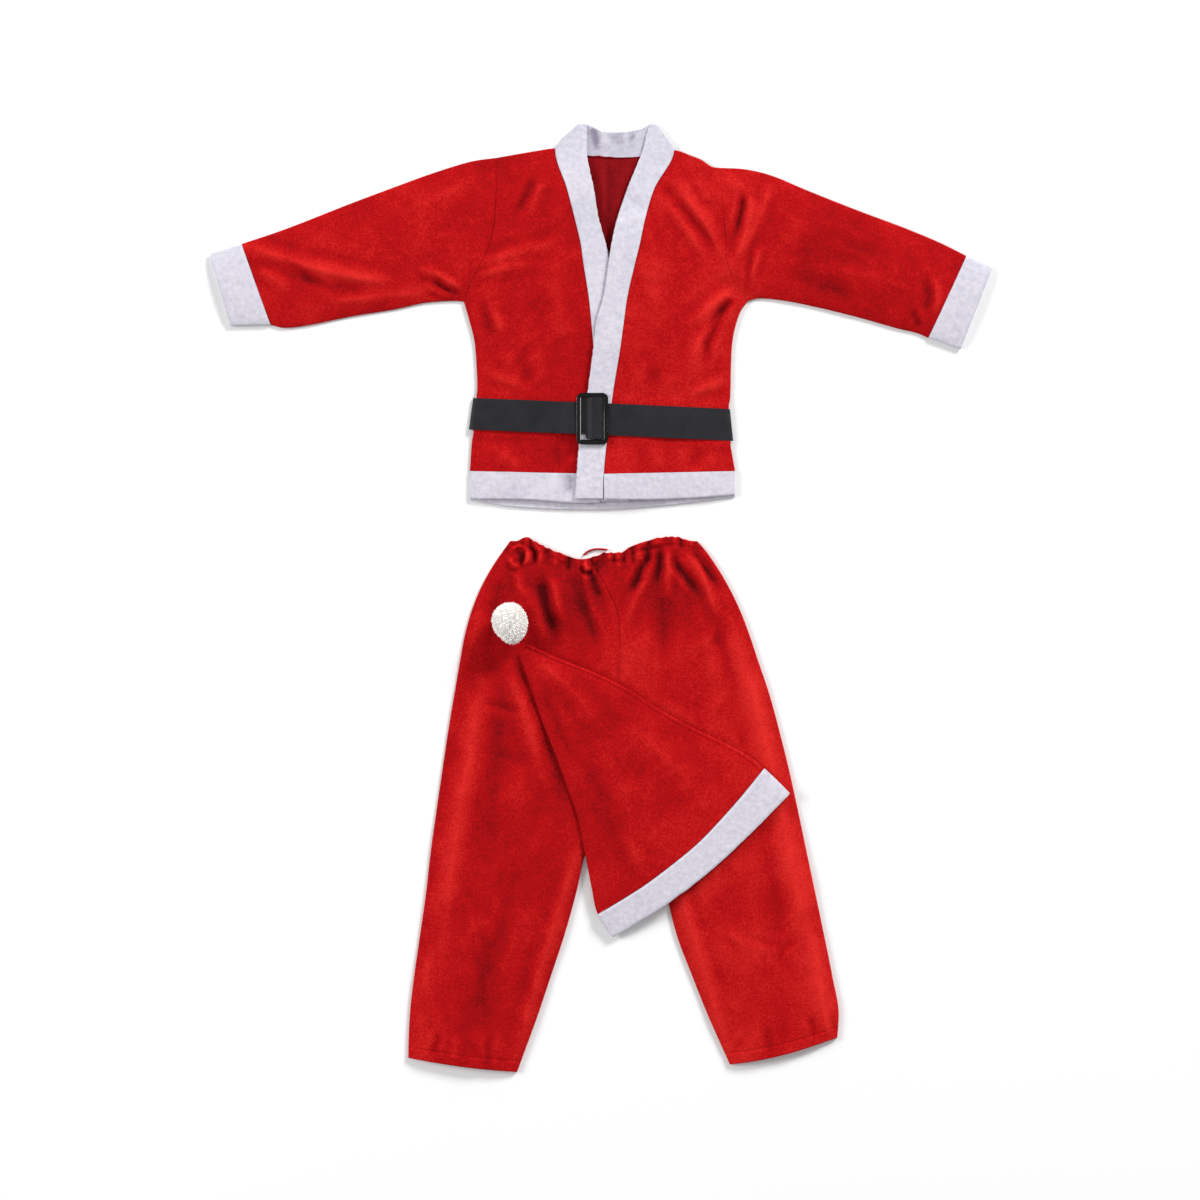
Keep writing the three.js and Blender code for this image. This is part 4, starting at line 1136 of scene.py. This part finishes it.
def leg_plan(side):
    outer = curve(LEG[side], "down", "outer")
    inner = curve(LEG[side], "down", "inner")

    def plan(s, t):
        inside = s if side < 0 else 1 - s
        edge_x = mix(outer(-12), inner(WAIST_INNER), inside)
        top = waist(edge_x) + SCALLOP * np.abs(np.sin(edge_x / 5.1 + 2.2 * np.sin(edge_x / 13)))
        # Rows run level from the waist, and slope with the hem near the feet.
        down = mix(top, leg_foot(side, inside), t)
        level = mix(WAIST_INNER, LEG_LONG, t)
        down = mix(down, level, ease(0, 0.06, t) * (1 - ease(0.75, 1, t)))
        # The waist edge is drawn in, and its ends round off into the side seams.
        drawn = mix(WAIST_OUTER, WAIST_INNER, ease(0, 1, inside))
        reach = np.maximum(down, drawn)
        x = mix(outer(reach), inner(reach) + side * 0.15, inside)
        return x, -down

    return plan


def leg_height(side, on_top):
    def height(x, y, s, t):
        down = -y
        inside = s if side < 0 else 1 - s
        if not on_top:
            return VELOUR + 0 * x, 0 * x
        joined = 1 - ease(CROTCH - 40, CROTCH + 50, down)
        loft = LEG_LOFT * mix(crown(inside), crown(inside * 0.5), joined)
        fold = creases(TROUSER_CREASES, x, down) + undulation(x, y + 700) * 1.1
        # The stitches of the waist's casing pull the cloth down unevenly.
        drawn = 1.0 + 0.9 * np.sin(x / 7.3 + 1.8 * np.sin(x / 19))
        fold = fold - drawn * bell(down - waist(x), CASING_DEEP, 2.6)
        seam = -1.1 * bell((1 - inside) * LEG_WIDE, 0, SEAM_HALF) * joined
        above_hem = leg_foot(side, inside) - down
        seam = seam - 0.7 * bell(above_hem, HEM_DEEP, 1.3)
        loose = TWO_LAYERS + loft * (0.4 + 0.6 * ease(-20, 60, down)) + seam
        loose = loose + fold * (0.3 + 0.7 * crown(np.clip(inside, 0.02, 0.98)))
        hat = under_hat(x + TROUSERS_AT[0], y + TROUSERS_AT[1])
        pressed = np.minimum(loose, HAT_REST - HAT_GAP)
        # The colour is painted paler along the side seam and the inseam, a painted sheen where the
        # cloth turns over, and darker between them.
        brushed_and_sheen = 0.8 * bell(inside, 0.1, 0.09)
        brushed_and_sheen += 0.7 * bell(inside, 0.94, 0.05) * (1 - joined)
        brushed_and_sheen -= 0.5 * bell(inside, 0.55, 0.22)
        lies = NAP["leg_" + SIDES[side]] * ease(-60, 300, down)
        # The colour is also made darker within about 150 mm of the waist.
        lies = lies - 1.5 * (1 - ease(20, 150, down))
        return np.maximum(mix(loose, pressed, hat), TWO_LAYERS), fold * (1 - hat) + brushed_and_sheen + lies

    return height


for side, word in SIDES.items():
    plan = leg_plan(side)
    edges = (2.0, 0.3) if side < 0 else (0.3, 2.0)
    panel(f"leg_back_{word}_velour", f"trousers_back_{word}", (40, 110), plan,
          leg_height(side, False), VELOUR, (0, 0, 0, 0), TROUSERS_AT)
    panel(f"leg_front_{word}_velour", f"trousers_front_{word}", (96, 230), plan,
          leg_height(side, True), VELOUR, (*edges, 1.8, 1.6), TROUSERS_AT)

# %% [markdown]
# ## The loop at the waist
# A thin rolled loop of the same cloth stands over the middle of the waist. It is a smooth
# curve with a round section, made a mesh like the other pieces.

# %% Loop
LOOP = ((-33, 5.6), (-29, 10), (-21, 12.9), (-12, 13.4), (-4, 12.2))
LOOP_RADIUS = 1.1
loop_curve = bpy.data.curves.new("waist_loop_velour", "CURVE")
loop_curve.dimensions = "3D"
loop_curve.bevel_depth = LOOP_RADIUS * MM
loop_curve.bevel_resolution = 4
loop_curve.use_fill_caps = True
line = loop_curve.splines.new("NURBS")
line.points.add(len(LOOP) - 1)
line.order_u = 3
line.use_endpoint_u = True
for point, (x, y) in zip(line.points, LOOP):
    place = (x + TROUSERS_AT[0] + SHEET_X, y + TROUSERS_AT[1] + SHEET_Y, LOOP_RADIUS + 0.4)
    point.co = (*(value * MM for value in place), 1)
loop = bpy.data.objects.new("waist_loop_velour", loop_curve)
bpy.context.collection.objects.link(loop)
pick(loop)
bpy.ops.object.convert(target="MESH")
loop = bpy.context.object
stand_for(loop, "waist_loop")

# %% [markdown]
# ## The hat
# A cone of velour pressed flat, with a seam along its upper right fold, and a plush brim
# made the same way. Both rest on one surface: the trousers, and a sag between the legs.

# %% Hat cone
def hat_low(along, aside):
    x = HAT_AT[0] + along * math.cos(HAT_TURN) - aside * math.sin(HAT_TURN) - TROUSERS_AT[0]
    down = TROUSERS_AT[1] - HAT_AT[1] - along * math.sin(HAT_TURN) - aside * math.cos(HAT_TURN)
    left = curve(LEG[-1], "down", "inner")(down)
    right = curve(LEG[1], "down", "inner")(down)
    off_leg = np.minimum(x - left, right - x)
    sag = ease(10, 58, off_leg) * ease(CROTCH, CROTCH + 60, down)
    return mix(HAT_REST, HAT_SAG, sag)


CONE_BASE = 3.4
CONE_LOFT = 4.6
HAT_CREASES = [
    (((20, 4), (90, 14), (150, 10)), 9.0, 1.8),
    (((150, -30), (210, -44), (262, -70)), 12.0, -1.6),
    (((170, 40), (230, 52), (290, 50)), 14.0, 1.6),
    (((60, -16), (110, -30), (150, -42)), 6.0, -1.8),
    (((292, -60), (276, -52), (256, -50)), 7.0, 1.6),
]
SEAM_INSIDE = 5.4


def cone_plan(across, along):
    run = mix(4, brim_seam(across), along)
    return run, mix(hat_left(run), hat_right(run), across)


def cone_low(x, y, across, along):
    return hat_low(x, y)


def cone_high(x, y, across, along):
    fold = creases(HAT_CREASES, x, y) + undulation(x + 300, y) * 0.8
    from_edge = hat_right(x) - y
    seam = 0.35 * bell(from_edge, SEAM_INSIDE / 2, 1.8) - 0.8 * bell(from_edge, SEAM_INSIDE, 1.2)
    rise = CONE_BASE + CONE_LOFT * crown(across) * ease(0, 60, x)
    # The seam is painted paler on its ridge and darker in its groove, a painted highlight and painted
    # shade, and the cone is painted paler towards the brim on its right side.
    tone = fold + 1.8 * seam + NAP["hat"] + 1.2 * ease(150, 300, x) * across
    return hat_low(x, y) + rise + fold * crown(across) * ease(0, 60, x) + seam, tone


tube("cone_velour", "hat_cone", (150, 130), cone_plan, cone_low, cone_high,
     TUBE_VELOUR, HAT_AT, HAT_TURN)

# %% Hat band
BRIM_BASE = 7.4
BRIM_LOFT = 2.8


def brim_plan(across, along):
    run = mix(brim_seam(across) + 0.6, brim_foot(across), along)
    ragged = 0.6 * pile(across * 240, across * 30) * along
    return run + ragged, mix(hat_left(run), hat_right(run), across)


def brim_high(x, y, across, along):
    rise = BRIM_BASE + BRIM_LOFT * crown(across)
    return hat_low(x, y) + rise + 0.3 * pile(x, y) - end_roll(along) * 0.6, 0 * x


tube("brim_plush", "hat_band", (150, 22), brim_plan, cone_low, brim_high,
     BRIM_PLUSH, HAT_AT, HAT_TURN)

# %% [markdown]
# ## The pompom
# A pompom is thousands of yarn ends trimmed to a ball. A small round core carries them.
# Each is a short blade of three sides with a pointed tip, and no two lean or reach alike.

# %% Pompom
TUFTS = 3600
CORE = 0.88
ROOT, ROOT_THICK = 0.8, 0.038
SHOULDER, SHOULDER_THICK = 0.93, 0.034
pom_low, pom_high = (Vector(corner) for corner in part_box("hat_pompom"))
pom_middle = (pom_low + pom_high) / 2
pom_half = (pom_high - pom_low) / 2
deselect()
bpy.ops.mesh.primitive_uv_sphere_add(segments=40, ring_count=24, radius=1)
core = bpy.context.object
points = [vertex.co * CORE for vertex in core.data.vertices]
faces = [tuple(face.vertices) for face in core.data.polygons]
bpy.data.objects.remove(core)
for i in range(TUFTS):
    # A golden spiral spreads the yarn ends evenly over the ball.
    height = 1 - 2 * (i + 0.5) / TUFTS
    around = i * math.pi * (3 - math.sqrt(5))
    ring = math.sqrt(1 - height**2)
    out = Vector((ring * math.cos(around), ring * math.sin(around), height))
    out = (out + Vector([random.gauss(0, 0.09) for _ in range(3)])).normalized()
    sideways = out.orthogonal().normalized()
    other = out.cross(sideways)
    tip = out * random.uniform(0.95, 1.03) + sideways * random.gauss(0, 0.05)
    first = len(points)
    spread = random.uniform(0, math.tau)
    for middle, radius in ((out * ROOT, ROOT_THICK), (tip * SHOULDER, SHOULDER_THICK)):
        for k in range(3):
            angle = spread + k * math.tau / 3
            aside = sideways * math.cos(angle) + other * math.sin(angle)
            points.append(middle + aside * radius)
    points.append(tip)
    for k in range(3):
        after = (k + 1) % 3
        faces.append((first + k, first + after, first + 3 + after, first + 3 + k))
        faces.append((first + 3 + k, first + 3 + after, first + 6))
    faces.append((first + 2, first + 1, first))

# %% The ball's own shape
def uneven(point):
    """No trimmed ball is quite round: this one is flat at its lower left and full below."""
    around = math.atan2(point.y, point.x)
    flat = 0.11 * math.exp(-(((around + 2.3) / 0.5) ** 2))
    full = 0.05 * math.exp(-(((around + 1.2) / 0.32) ** 2))
    full += 0.05 * math.exp(-(((around - 2.7) / 0.4) ** 2))
    return point * (1 + (full - flat) * min(1, math.hypot(point.x, point.y)) ** 2)


pom_mesh = bpy.data.meshes.new("pompom_plush")
placed = []
for point in points:
    shaped = uneven(point)
    placed.append([m + c * h for m, c, h in zip(pom_middle, shaped, pom_half)])
pom_mesh.from_pydata(placed, [], faces)
pom_mesh.validate()
pompom = bpy.data.objects.new("pompom_plush", pom_mesh)
bpy.context.collection.objects.link(pompom)
stand_for(pompom, "hat_pompom")

# %% [markdown]
# ## Finishes
# A finish is a sum of patterns, which is easiest to read as arithmetic. Value wraps one
# output of a node, so that a + b * c adds its own Math nodes, and Finish makes the rest.

# %% Shader arithmetic
class Value:
    """One output of a shader node, to be used in sums and products."""

    def __init__(self, finish, socket):
        self.finish, self.socket = finish, socket

    def _math(self, operation, first, second):
        sockets = {0: first, 1: second}
        return self.finish.node("ShaderNodeMath", {"operation": operation}, sockets)

    def __add__(self, other):
        return self._math("ADD", self, other)

    def __sub__(self, other):
        return self._math("SUBTRACT", self, other)

    def __rsub__(self, other):
        return self._math("SUBTRACT", other, self)

    def __mul__(self, other):
        return self._math("MULTIPLY", self, other)

    __radd__ = __add__
    __rmul__ = __mul__


class Finish:
    """A material, with one method that makes any node in it."""

    def __init__(self, name):
        self.material = bpy.data.materials.new(name)
        self.material.use_nodes = True
        self.tree = self.material.node_tree
        self.shader = self.tree.nodes["Principled BSDF"]

    def node(self, kind, settings, sockets, output=0):
        made = self.tree.nodes.new(kind)
        for name, value in settings.items():
            if name == "stops":
                ramp = made.color_ramp
                while len(ramp.elements) < len(value):
                    ramp.elements.new(0.5)
                for element, (place, colour) in zip(ramp.elements, value):
                    element.position = place
                    element.color = (*colour, 1)
            else:
                setattr(made, name, value)
        for name, value in sockets.items():
            if isinstance(value, Value):
                self.tree.links.new(value.socket, made.inputs[name])
            else:
                made.inputs[name].default_value = value
        return Value(self, made.outputs[output])

    def feed(self, name, value):
        if isinstance(value, Value):
            self.tree.links.new(value.socket, self.shader.inputs[name])
        else:
            self.shader.inputs[name].default_value = value

    def noise(self, place, scale, detail=2.0):
        return self.node("ShaderNodeTexNoise", {}, {"Vector": place, "Scale": scale, "Detail": detail})

    def place(self):
        return self.node("ShaderNodeTexCoord", {}, {}, "Object")

    def note(self, name):
        """A value kept with the points of a piece."""
        return self.node("ShaderNodeAttribute", {"attribute_name": name}, {}, "Fac")

    def colour(self, tone, *stops):
        """Base colour read from a ramp. A stop is (tone, colour)."""
        self.feed("Base Color", self.node("ShaderNodeValToRGB", {"stops": stops}, {"Fac": tone}))

    def settings(self, roughness, gloss):
        self.feed("Roughness", roughness)
        self.feed("Specular IOR Level", gloss)

    def bump(self, height, strength, distance):
        sockets = {"Height": height, "Strength": strength, "Distance": distance}
        self.feed("Normal", self.node("ShaderNodeBump", {}, sockets))


def linear(red, green, blue):
    """A colour from 0 to 255 as light."""
    return tuple(
        (c / 255 / 12.92 if c <= 10 else ((c / 255 + 0.055) / 1.055) ** 2.4)
        for c in (red, green, blue)
    )


def dress(material, *names):
    for name in names:
        mesh = bpy.data.objects[name].data
        mesh.materials.clear()
        mesh.materials.append(material)
    print(material.name, "on", len(names), "pieces")


# %% [markdown]
# ## Velour
# Its short nap looks dark from above. The fold value of each grid is painted into the
# colour: paler on a ridge, a painted highlight, and darker down in a fold, a painted shade.
# Sheen gives the soft pale rim, broad noise the brushed patches, and fine noise the grain
# of the nap.

# %% Velour finish
def velour_finish(name, dark, body, light):
    finish = Finish(name)
    place = finish.place()
    fold = finish.note("fold")
    patches = finish.noise(place, 9.0, 4.0)
    brushed_and_sheen = finish.noise(place, 60.0, 4.0)
    grain = finish.noise(place, 430.0, 3.0)
    # The fold value paints shade down in a fold and a highlight on a ridge.
    tone = fold * 0.08 + 0.5 + (patches - 0.5) * 0.2 + (brushed_and_sheen - 0.5) * 0.26
    tone = tone + (grain - 0.5) * 0.62
    finish.colour(tone, (0.05, dark), (0.5, body), (0.95, light))
    finish.settings(roughness=0.85, gloss=0.08)
    finish.feed("Sheen Weight", 0.1)
    finish.feed("Sheen Roughness", 0.42)
    finish.feed("Sheen Tint", (1.0, 0.3, 0.28, 1.0))
    finish.bump(brushed_and_sheen * 0.4 + grain * 0.6, 0.45, 0.0009)
    return finish.material


velour = velour_finish("red_velour", linear(84, 0, 4), linear(178, 8, 14), linear(228, 46, 40))
# A darker copy of the velour, for the back seen inside the neck: a painted shade.
velour_shaded = velour_finish(
    "red_velour_inside_shaded", linear(70, 0, 6), linear(132, 8, 16), linear(168, 24, 30)
)
dress(velour, "front_left_velour", "front_right_velour", "sleeve_left_velour",
      "sleeve_right_velour", "leg_back_left_velour", "leg_back_right_velour",
      "leg_front_left_velour", "leg_front_right_velour", "waist_loop_velour", "cone_velour")
dress(velour_shaded, "back_velour")

# %% [markdown]
# ## Plush
# White brushed pile, a little lilac in the shade. Its fold value paints it greyer down in a
# fold, a painted shade. Two scales of noise raise it, and its wide sheen keeps the bands
# bright where they turn away.

# %% Plush finish
def plush_finish(name, fold_shade, shade, body, strength):
    finish = Finish(name)
    place = finish.place()
    fold = finish.note("fold")
    clumps = finish.noise(place, 180.0, 3.0)
    fibres = finish.noise(place, 1100.0, 2.0)
    # The fold value paints shade into the colour: greyer down in a fold.
    tone = fold * 0.14 + 0.5 + (clumps - 0.5) * 0.5 + (fibres - 0.5) * 0.4
    finish.colour(tone, (0.0, fold_shade), (0.25, shade), (0.6, body))
    finish.settings(roughness=0.95, gloss=0.1)
    finish.feed("Sheen Weight", 0.25)
    finish.feed("Sheen Roughness", 0.6)
    finish.bump(clumps * 0.6 + fibres * 0.4, strength, 0.0012)
    return finish.material


plush = plush_finish(
    "white_plush", linear(138, 132, 150), linear(184, 180, 195), linear(217, 214, 225), 0.45
)
yarn = plush_finish(
    "pompom_yarn", linear(228, 223, 219), linear(243, 239, 235), linear(255, 253, 250), 0.15
)
dress(plush, "band_left_plush", "band_right_plush", "neck_plush", "hem_back_plush",
      "hem_left_plush", "hem_right_plush", "cuff_left_plush", "cuff_right_plush", "brim_plush")
dress(yarn, "pompom_plush")

# %% [markdown]
# ## Webbing and moulded plastic
# Webbing is woven, with fine ribs across it, so two wave patterns cross. The buckle is
# gloss plastic: nearly black, with faint swirls left by the mould, and a painted highlight,
# pale, along the round inner edges of its window.

# %% Webbing finish
web = Finish("black_webbing")
place = web.place()
ribs = web.node("ShaderNodeTexWave", {"bands_direction": "X"}, {"Vector": place, "Scale": 160.0})
rows = web.node("ShaderNodeTexWave", {"bands_direction": "Y"}, {"Vector": place, "Scale": 260.0})
wear = web.noise(place, 60.0, 3.0)
weave = ribs * 0.5 + rows * 0.5
web.colour(weave * 0.35 + wear * 0.65 + web.note("fold") * 0.9,
           (0.0, linear(0, 0, 1)), (0.2, linear(7, 7, 10)), (0.8, linear(34, 33, 41)))
web.settings(roughness=0.62, gloss=0.32)
web.bump(weave, 0.35, 0.0004)
dress(web.material, "strap_webbing", "tail_webbing")

# %% Gloss plastic finish
gloss = Finish("black_gloss")
swirl = gloss.noise(gloss.place(), 120.0)
# The noted inner edges are painted pale: a painted highlight.
gloss.colour(swirl * 0.35 + gloss.note("polish") * 0.8,
             (0.1, linear(2, 2, 3)), (0.3, linear(7, 7, 9)), (1.0, linear(196, 196, 202)))
gloss.settings(roughness=swirl * 0.08 + 0.14, gloss=0.4)
gloss.bump(swirl, 0.1, 0.0003)
dress(gloss.material, "buckle_moulding")

# %% [markdown]


# %% The table
deselect()
bpy.ops.mesh.primitive_plane_add(size=9)
floor = bpy.context.object
floor.name = "floor"
floor.location = (0, 0, -0.0002)
pale = Finish("pale_table")
pale.feed("Base Color", (0.97, 0.97, 0.975, 1.0))
pale.feed("Roughness", 0.9)
dress(pale.material, "floor")
